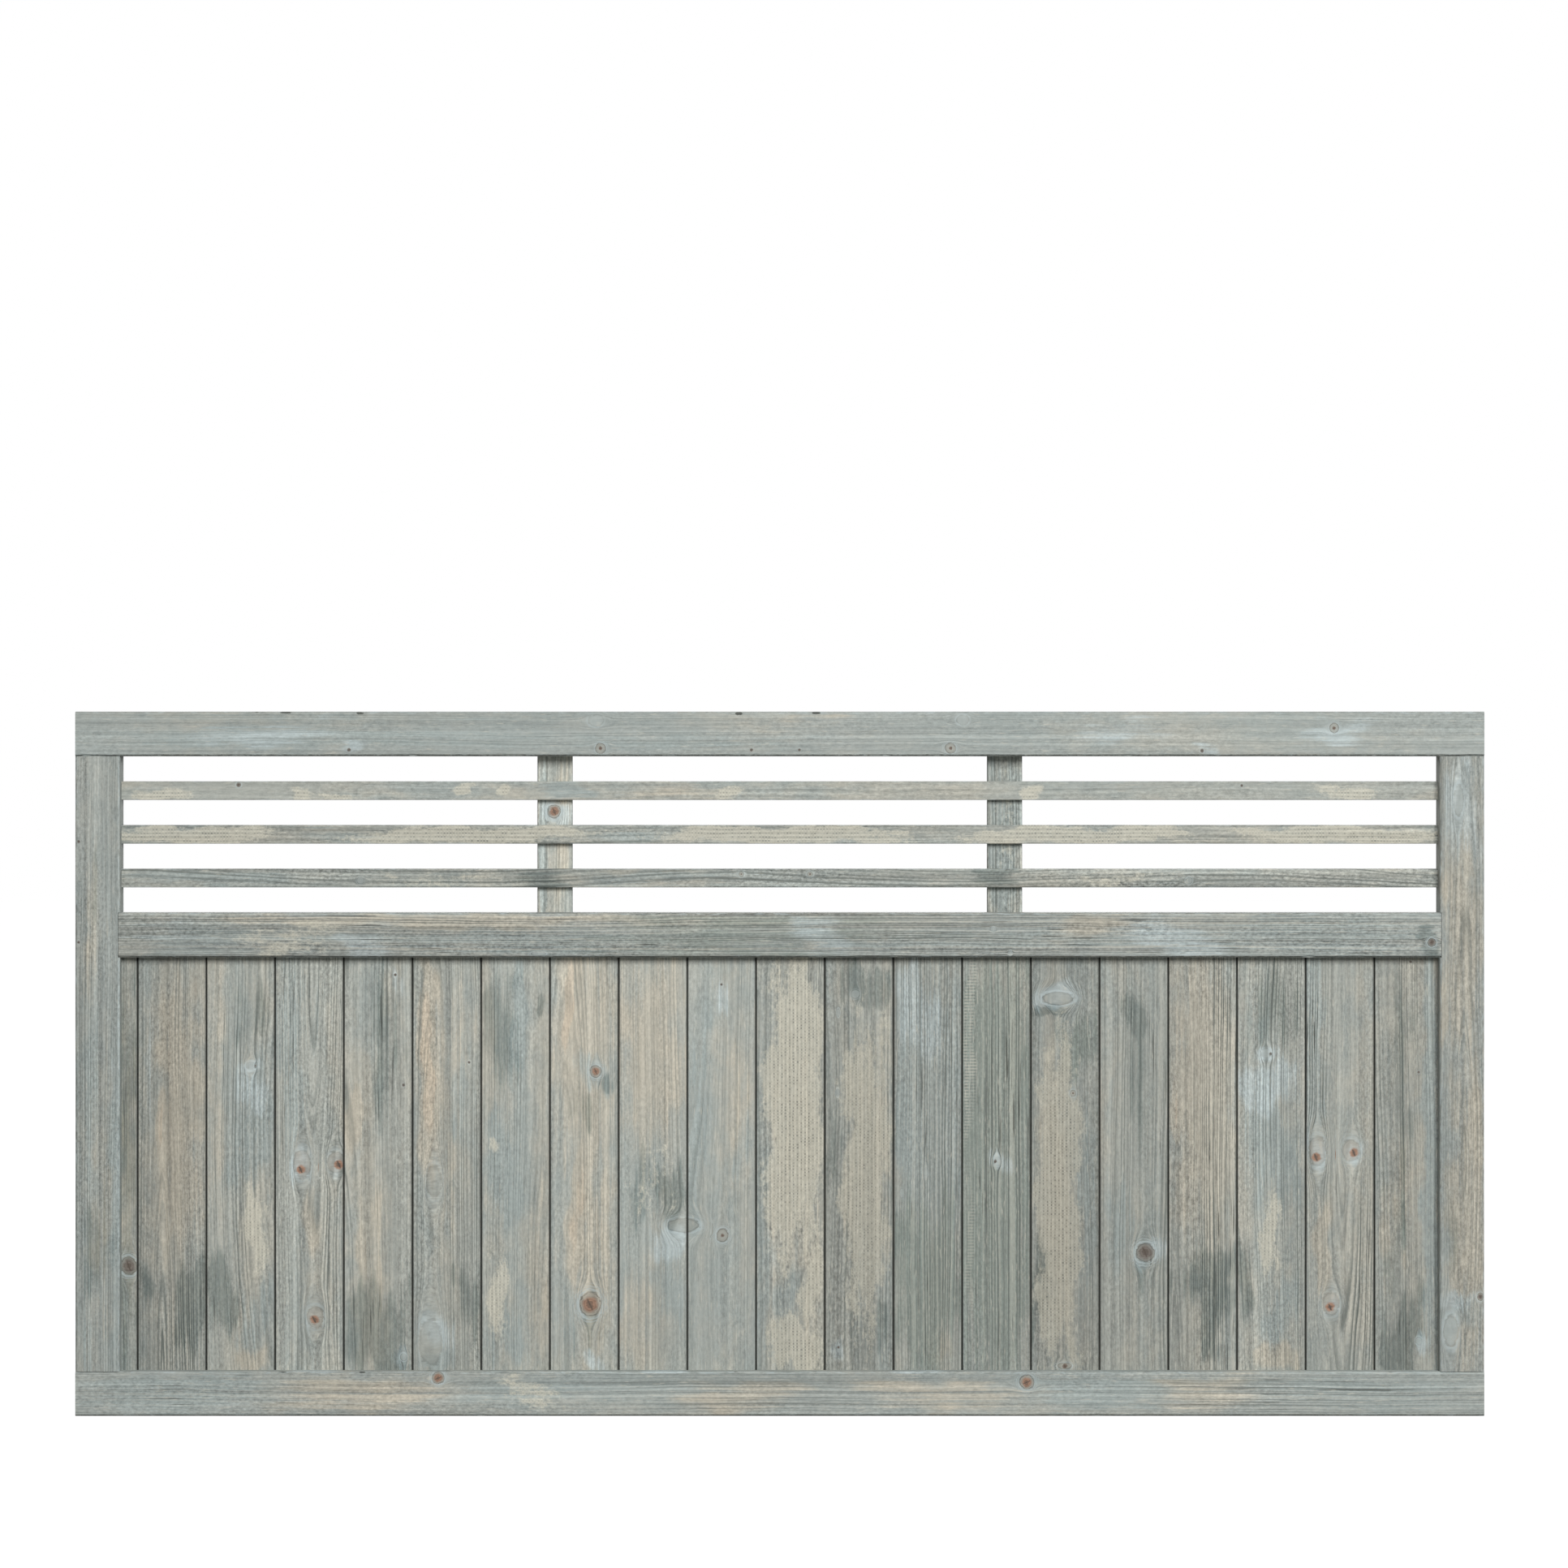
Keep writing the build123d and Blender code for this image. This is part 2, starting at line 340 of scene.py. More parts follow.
def screw_tree():
    """Countersunk wood screws: one is swept from its radii, gets a cross recess, and stands at each point."""
    values = {"Length": 0.09, "Shank Radius": screw_radius, "Head Radius": screw_head_radius}
    values |= {"Thread Pitch": 0.0028, "Thread Depth": 0.0006, "Recess Width": 0.0052, "Seed": 0}
    graph, given = geometry_tree("screws", values)
    foot = graph.join(z=graph.times(given["Length"], -1.0))
    path = stepped_line(graph, (0.0, 0.0, 0.0), foot, screw_step)
    height = graph.split(graph.output("GeometryNodeInputPosition"))["Z"]
    sunk = graph.times(height, -1.0)
    cone = graph.math("SUBTRACT", given["Head Radius"], sunk)
    phase = graph.math("FRACT", graph.math("DIVIDE", sunk, given["Thread Pitch"]))
    ridge = graph.times(phase, given["Thread Depth"], graph.rise(sunk, thread_start, thread_full))
    shank = graph.math("SUBTRACT", given["Shank Radius"], ridge)
    left = graph.math("ADD", height, given["Length"])
    point = graph.math("ADD", graph.times(left, 0.45), 0.0002)
    radius = graph.math("MINIMUM", graph.math("MAXIMUM", cone, shank), point)
    circle = graph.output("GeometryNodeCurvePrimitiveCircle", {"Resolution": 16, "Radius": 1.0})
    body = swept(graph, path, circle, radius)
    cut = graph.add("GeometryNodeMeshBoolean", {"Mesh 1": body}, operation="DIFFERENCE", solver="EXACT")
    wing = graph.times(given["Recess Width"], 0.2)
    for width, depth in ((given["Recess Width"], wing), (wing, given["Recess Width"])):
        blade = graph.output("GeometryNodeMeshCube", {"Size": graph.join(width, depth, recess_height)})
        graph.tree.links.new(blade, cut.inputs["Mesh 2"])
    out = {"Vector": vector_on_mesh(graph, "out")}
    upright = graph.output("FunctionNodeAlignRotationToVector", out, axis="Z")
    chance = {"Min": 0.0, "Max": math.pi, "Seed": given["Seed"]}
    spin = graph.add("FunctionNodeRandomValue", chance, data_type="FLOAT").outputs["Value"]
    spun = graph.output("FunctionNodeAxisAngleToRotation", {"Axis": (0.0, 0.0, 1.0), "Angle": spin})
    inputs = {"Rotation": upright, "Rotate By": spun}
    turn = graph.output("FunctionNodeRotateRotation", inputs, rotation_space="LOCAL")
    return stand_at_points(graph, given, cut.outputs[0], turn)


def filleted(graph, curve, count, radius):
    inputs = {"Curve": curve, "Count": count, "Radius": radius, "Limit Radius": True}
    return graph.output("GeometryNodeFilletCurve", inputs, mode="POLY")


def staple_tree():
    """Wire staples: a bent wire of flattened section stands at each point, its legs driven along -Y."""
    values = {"Crown": staple_crown, "Leg": staple_leg, "Wire Width": staple_wire_width}
    values |= {"Wire Thickness": staple_wire_thickness, "Bend": 0.0012}
    graph, given = geometry_tree("staples", values)
    half = graph.times(graph.math("SUBTRACT", given["Crown"], given["Wire Thickness"]), 0.5)
    other = graph.times(half, -1.0)
    top = graph.times(given["Wire Thickness"], -0.5)
    foot = graph.times(given["Leg"], -1.0)
    corners = ((other, foot), (other, top), (half, top), (half, foot))
    points = {f"Point {number + 1}": graph.join(x, y) for number, (x, y) in enumerate(corners)}
    legs = graph.output("GeometryNodeCurvePrimitiveQuadrilateral", points, mode="POINTS")
    opened = graph.output("GeometryNodeSetSplineCyclic", {"Geometry": legs, "Cyclic": False})
    bent = filleted(graph, opened, 4, given["Bend"])
    size = {"Width": given["Wire Thickness"], "Height": given["Wire Width"]}
    wire = graph.output("GeometryNodeCurvePrimitiveQuadrilateral", size, mode="RECTANGLE")
    section = filleted(graph, wire, 2, wire_rounding)
    path = graph.output("GeometryNodeSetCurveNormal", {"Curve": bent}, mode="Z_UP")
    return stand_at_points(graph, given, swept(graph, path, section))


def run_tree(holder, tree, values):
    """Puts the tree on the object with these values, by the identifiers of its named inputs."""
    modifier = holder.modifiers.new(tree.name, "NODES")
    modifier.node_group = tree
    for item in tree.interface.items_tree:
        if item.in_out == "INPUT" and item.name in values:
            modifier[item.identifier] = values[item.name]


def new_object(name, data):
    made = bpy.data.objects.new(name, data)
    bpy.context.scene.collection.objects.link(made)
    return made


def bake(holder, name):
    """The evaluated object as a plain mesh object of this name; the holder goes."""
    bpy.context.view_layer.update()
    graph = bpy.context.evaluated_depsgraph_get()
    mesh = bpy.data.meshes.new_from_object(holder.evaluated_get(graph))
    mesh.name = name
    bpy.data.objects.remove(holder)
    return new_object(name, mesh)


def smooth(mesh):
    mesh.polygons.foreach_set("use_smooth", np.ones(len(mesh.polygons), bool))
    mesh.set_sharp_from_angle(angle=math.radians(smooth_angle))
    mesh.update()


# Sections


def divided(start, end, step):
    """Points from start up to, and without, end, no further apart than step."""
    start, end = np.array(start, float), np.array(end, float)
    count = max(1, math.ceil(np.linalg.norm(end - start) / step - 1e-6))
    return [tuple(start + (end - start) * share / count) for share in range(count)]


def rounded_outline(width, depth, radius, middle):
    """A rectangle with rounded corners, anticlockwise from its front side, with each point's way inward."""
    half_width, half_depth = width / 2, depth / 2
    signs = ((1, -1), (1, 1), (-1, 1), (-1, -1))
    corners = [np.array((across * half_width, back * half_depth)) for across, back in signs]
    points, inward = [], []
    for side, (corner, sign) in enumerate(zip(corners, signs)):
        along = corner - corners[side - 1]
        along = along / np.linalg.norm(along)
        start = corners[side - 1] + along * radius
        end = corner - along * radius
        margin = along * face_margin
        step = fine_step if side == 0 else coarse_step
        flat = [tuple(start), *divided(start + margin, end - margin, step), tuple(end - margin)]
        points += flat
        inward += [(0.0, 0.0)] * len(flat)
        centre = corner - np.array(sign) * radius
        first = math.atan2(end[1] - centre[1], end[0] - centre[0])
        toward = -np.array(sign) / math.sqrt(2)
        for facet in range(arris_facets):
            angle = first + math.pi / 2 * facet / arris_facets
            points.append((centre[0] + radius * math.cos(angle), centre[1] + radius * math.sin(angle)))
            inward.append(tuple(toward * math.sin(math.pi * facet / arris_facets)))
    return [(x + middle[0], y + middle[1]) for x, y in points], inward


def board_outline(left, right, tongue, socket):
    """A board's section, anticlockwise from its face, with a tongue on the left and a socket on the right."""
    near = board_face + tongue_from_face
    far = near + tongue_thickness
    front = (board_arris, board_arris + face_margin)
    corners = [(left + inset, board_face, fine_step) for inset in front]
    corners += [(right - inset, board_face, fine_step) for inset in reversed(front)]
    corners.append((right, board_face + board_arris, joint_step))
    if socket:
        bottom = right - (tongue_length - board_joint + tongue_end_gap)
        wide_near, wide_far = near - tongue_clearance, far + tongue_clearance
        turns = ((right, wide_near), (bottom, wide_near), (bottom, wide_far), (right, wide_far))
        corners += [(x, y, joint_step) for x, y in turns]
    corners += [(right, board_back, coarse_step), (left, board_back, joint_step)]
    if tongue:
        tip = left - tongue_length
        corners += [(x, y, joint_step) for x, y in ((left, far), (tip, far), (tip, near), (left, near))]
    corners.append((left, board_face + board_arris, joint_step))
    points = []
    for number, (x, y, step) in enumerate(corners):
        following = corners[(number + 1) % len(corners)]
        points += divided((x, y), following[:2], step)
    return points, [(0.0, 0.0)] * len(points)


def outline_mesh(name, outline):
    points, inward = outline
    mesh = bpy.data.meshes.new(name)
    count = len(points)
    mesh.from_pydata([(x, y, 0.0) for x, y in points], [(i, (i + 1) % count) for i in range(count)], [])
    attribute = mesh.attributes.new("inward", "FLOAT_VECTOR", "POINT")
    attribute.data.foreach_set("vector", [c for x, y in inward for c in (x, y, 0.0)])
    return mesh


# Cutters


def box_faces(low, high):
    corners = [(x, y, z) for z in (low[2], high[2]) for y in (low[1], high[1]) for x in (low[0], high[0])]
    faces = [(0, 2, 3, 1), (4, 5, 7, 6), (0, 1, 5, 4), (2, 6, 7, 3), (0, 4, 6, 2), (1, 3, 7, 5)]
    return corners, faces


def hole_faces(mouth, out, length, sides=20):
    """A countersunk hole from its mouth on the wood's face, the way opposite to out."""
    mouth, out = Vector(mouth), Vector(out)
    turn = out.to_track_quat("Z", "Y").to_matrix()
    head = screw_head_radius + hole_clearance + head_sink
    shank = screw_radius + hole_clearance
    rings = [(overcut, head), (0.0, head), (shank - head, shank), (-length - head_sink - hole_clearance, shank)]
    corners = []
    for height, radius in rings:
        for side in range(sides):
            angle = 2 * math.pi * side / sides
            corners.append(mouth + turn @ Vector((radius * math.cos(angle), radius * math.sin(angle), height)))
    faces = [tuple(range(sides)), tuple(range(len(corners) - 1, len(corners) - sides - 1, -1))]
    for ring in range(len(rings) - 1):
        for side in range(sides):
            following = (side + 1) % sides
            upper, lower = ring * sides, (ring + 1) * sides
            faces.append((upper + side, lower + side, lower + following, upper + following))
    return [tuple(corner) for corner in corners], faces


def cutter_object(name, shapes):
    corners, faces = [], []
    for shape_corners, shape_faces in shapes:
        faces += [tuple(index + len(corners) for index in face) for face in shape_faces]
        corners += shape_corners
    mesh = bpy.data.meshes.new(name)
    mesh.from_pydata(corners, [], faces)
    return new_object(name, mesh)


def batten_laps(rail_low, rail_high, above):
    """Notches for the lapped ends of the battens in the back of a rail."""
    shapes = []
    for number in range(batten_count):
        low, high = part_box(f"batten_{number + 1}")
        bottom = rail_low.z - overcut if above else low.z
        top = high.z if above else rail_high.z + overcut
        near = (low.x - joint_clearance, slat_back, bottom)
        shapes.append(box_faces(near, (high.x + joint_clearance, frame_back + overcut, top)))
    return shapes


def corner_screw_columns():
    low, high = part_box("left_stile")
    middle = (low.x + high.x) / 2
    offsets = (-corner_screw_offset, corner_screw_offset)
    return [side * (middle + offset) for side in (-1, 1) for offset in offsets]


def corner_holes(height, up):
    return [hole_faces((x, 0.0, height), (0, 0, up), corner_screw_length) for x in corner_screw_columns()]


def middle_screw_height():
    low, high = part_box("middle_rail")
    return (low.z + high.z) / 2


def middle_hole(side):
    depth = (board_face + board_back) / 2
    return hole_faces((side * cad_high.x, depth, middle_screw_height()), (side, 0, 0), middle_screw_length)


def rail_groove(low, high, reach, from_top):
    """Groove for the boards in a rail's upper or lower edge."""
    bottom = high.z - groove_depth if from_top else low.z - overcut
    top = high.z + overcut if from_top else low.z + groove_depth
    return box_faces(
        (-reach, board_face - groove_clearance, bottom), (reach, board_back + groove_clearance, top)
    )


def top_rail_cuts():
    low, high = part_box("top_rail")
    return [batten_laps(low, high, True) + corner_holes(high.z, 1)]


def bottom_rail_cuts():
    low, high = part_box("bottom_rail")
    reach = -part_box("left_stile")[1].x + groove_depth
    return [[rail_groove(low, high, reach, True)] + corner_holes(low.z, -1)]


def middle_rail_cuts():
    low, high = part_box("middle_rail")
    shoulder = -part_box("left_stile")[1].x + middle_housing - shoulder_gap
    tenon_foot = low.z + groove_depth
    far = high.x + overcut
    under, over = low.z - overcut, high.z + overcut
    front, back = frame_front - overcut, frame_back + overcut
    above, below, fore, aft = [], [], [], []
    for side in (-1, 1):
        start, end = sorted((side * shoulder, side * far))
        above.append(box_faces((start, front, tenon_foot + tenon_height), (end, back, over)))
        below.append(box_faces((start, front, under), (end, back, tenon_foot)))
        fore.append(box_faces((start, front, under), (end, board_face, over)))
        aft.append(box_faces((start, board_back, under), (end, back, over)))
    groove = [rail_groove(low, high, far, False)]
    holes = [middle_hole(side) for side in (-1, 1)]
    return [above + below, fore + aft, groove + batten_laps(low, high, False), holes]


def widened(start, end, clearance):
    return start - clearance, end + clearance


def stile_cuts(side):
    low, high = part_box("left_stile")
    inner = -high.x
    middle_low, middle_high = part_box("middle_rail")
    groove_top = middle_low.z + groove_depth + tenon_height + joint_clearance

    def inward_box(depth, y_range, z_range):
        start, end = sorted((side * (inner - overcut), side * (inner + depth)))
        return box_faces((start, y_range[0], z_range[0]), (end, y_range[1], z_range[1]))

    boards = widened(board_face, board_back, groove_clearance)
    grooves = [inward_box(groove_depth, boards, (low.z - overcut, groove_top))]
    for number in range(slat_count):
        slat_low, slat_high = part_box(f"slat_{number + 1}")
        depths = widened(slat_low.y, slat_high.y, joint_clearance)
        heights = widened(slat_low.z, slat_high.z, joint_clearance)
        grooves.append(inward_box(slat_pocket, depths, heights))
    depths = widened(frame_front, frame_back, overcut)
    heights = widened(middle_low.z, middle_high.z, joint_clearance)
    housing = inward_box(middle_housing, depths, heights)
    radius = screw_radius + hole_clearance
    drilled = []
    for x in (x for x in corner_screw_columns() if x * side > 0):
        for end, reach in ((low.z, corner_screw_reach), (high.z, -corner_screw_reach)):
            bottom, top = sorted((end - math.copysign(overcut, reach), end + reach))
            drilled.append(box_faces((x - radius, -radius, bottom), (x + radius, radius, top)))
    return [grooves + drilled, [housing, middle_hole(side)]]


def staple_places():
    """Middles of the staple crowns on the battens' backs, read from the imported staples."""
    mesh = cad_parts["staples"].data
    corners = np.array([vertex.co for vertex in mesh.vertices])
    top = corners[corners[:, 1] > corners[:, 1].max() - 1e-5]
    keys = {}
    for x, _, z in top:
        for (known_x, known_z), members in keys.items():
            if abs(x - known_x) < staple_crown and abs(z - known_z) < staple_wire_width * 1.5:
                members.append((x, z))
                break
        else:
            keys[(x, z)] = [(x, z)]
    places = []
    for members in keys.values():
        spread = np.array(members)
        places.append(tuple((spread.min(0) + spread.max(0)) / 2))
    return places


def batten_cuts(number):
    low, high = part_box(f"batten_{number}")
    half_crown = staple_crown / 2 + hole_clearance
    half_wire = staple_wire_width / 2 + hole_clearance
    front = frame_back - (head_sink + staple_wire_thickness + hole_clearance)
    back = frame_back + overcut
    slots = []
    for x, z in staple_places():
        if low.x < x < high.x:
            near = (x - half_crown, front, z - half_wire)
            slots.append(box_faces(near, (x + half_crown, back, z + half_wire)))
    return [slots]


# Marks seen in the photograph, at its pixels

# Each knot: its middle, radius, height to width, look, and how far its heart lies off its middle
KNOTS = {
    "top_rail": [
        (740, 922, 6, 1.0, "ringed"), (1171, 922, 6, 1.0, "ringed"), (1644, 897, 6, 1.1, "ringed"),
        (430, 924, 2.5, 1.0, "pin"), (926, 924, 2.0, 1.0, "pin"), (985, 924, 2.0, 1.0, "pin"),
        (1481, 925, 2.5, 1.0, "pin"), (734, 888, 7, 0.8, "pale"), (1186, 887, 6, 0.8, "pale"),
    ],
    "middle_rail": [
        (1764, 1161, 5, 1.0, "brown"), (664, 1175, 2.6, 0.3, "pale"), (1224, 1145, 3, 1.6, "pale"),
        (1245, 1174, 3, 1.6, "pale"),
    ],
    "bottom_rail": [(540, 1698, 7, 1.0, "red"), (1265, 1703, 8, 1.0, "red")],
    "left_stile": [(97, 1037, 2, 1.4, "pin"), (97, 1161, 2, 1.4, "pin")],
    "right_stile": [(1788, 1640, 9, 2.2, "pale"), (1824, 1598, 4, 1.2, "brown"), (1797, 986, 6, 3.0, "pale")],
    "slat_1": [(294, 967, 3, 1.0, "brown"), (1530, 968, 2, 1.0, "pin")],
    "slat_3": [
        (444, 1085, 4, 1.0, "pale"), (1465, 1085, 4, 1.0, "pale"), (913.5, 1077, 3, 1.0, "ringed"),
        (998, 1077, 3, 1.0, "ringed"),
    ],
    "batten_1": [(683, 1000, 8, 1.0, "red"), (674, 1011, 1.2, 1.0, "pin")],
    "board_01": [(159, 1560, 10.5, 1.0, "brown")],
    "board_03": [(309, 1313, 6, 0.9, "pale"), (314, 1313, 1.6, 1.0, "pin")],
    "board_04": [
        (372.5, 1433, 10, 1.8, "eye", -2.0, 8.0), (414, 1432, 10, 1.3, "eye", 3.0, 3.0),
        (388.5, 1622, 10, 1.35, "eye", -1.0, 3.5),
    ],
    "board_05": [(487, 1201, 2, 1.0, "pin"), (497, 1337, 2, 1.0, "pin"), (497, 1672, 4, 1.2, "pale")],
    "board_06": [(535, 1456, 9, 2.2, "oval"), (531, 1652, 13, 2.2, "oval"), (578, 1309, 2, 1.0, "pin")],
    "board_08": [(734, 1320, 6.5, 1.1, "red"), (727, 1607, 12.5, 1.1, "red")],
    "board_09": [(842, 1510, 19, 0.45, "ear")],
    "board_10": [(842, 1510, 19, 0.45, "ear"), (889, 1213, 1.8, 1.0, "pin"), (890, 1522, 7, 1.15, "ringed")],
    "board_12": [
        (1054, 1225, 5, 1.0, "pale"), (1033, 1660, 1.8, 1.0, "pin"), (1033, 1248, 2, 2.6, "pale"),
        (1032, 1346, 2, 2.6, "pale"),
    ],
    "board_13": [(1141, 1444, 2, 2.6, "pale"), (1111, 1470, 2, 2.6, "pale")],
    "board_14": [(1228, 1431, 5, 1.0, "pale"), (1226, 1431, 1.4, 1.0, "pin")],
    "board_15": [
        (1303, 1230, 19, 0.42, "ear"), (1322, 1347, 3.5, 1.1, "ringed"), (1312, 1683, 8, 0.45, "ringed"),
    ],
    "board_16": [(1411, 1543, 11.5, 0.95, "brown")],
    "board_18": [(1560, 1298, 6, 0.9, "pale"), (1566, 1298, 1.6, 1.0, "pin")],
    "board_19": [
        (1623.5, 1418, 10, 1.8, "eye", -2.0, 8.0), (1665, 1417, 10, 1.3, "eye", 3.0, 3.0),
        (1640, 1607, 10, 1.35, "eye", -1.0, 3.5),
    ],
    "board_20": [(1738, 1185, 2, 1.0, "pin"), (1748, 1321, 2, 1.0, "pin"), (1748, 1652, 4, 1.2, "pale")],
}
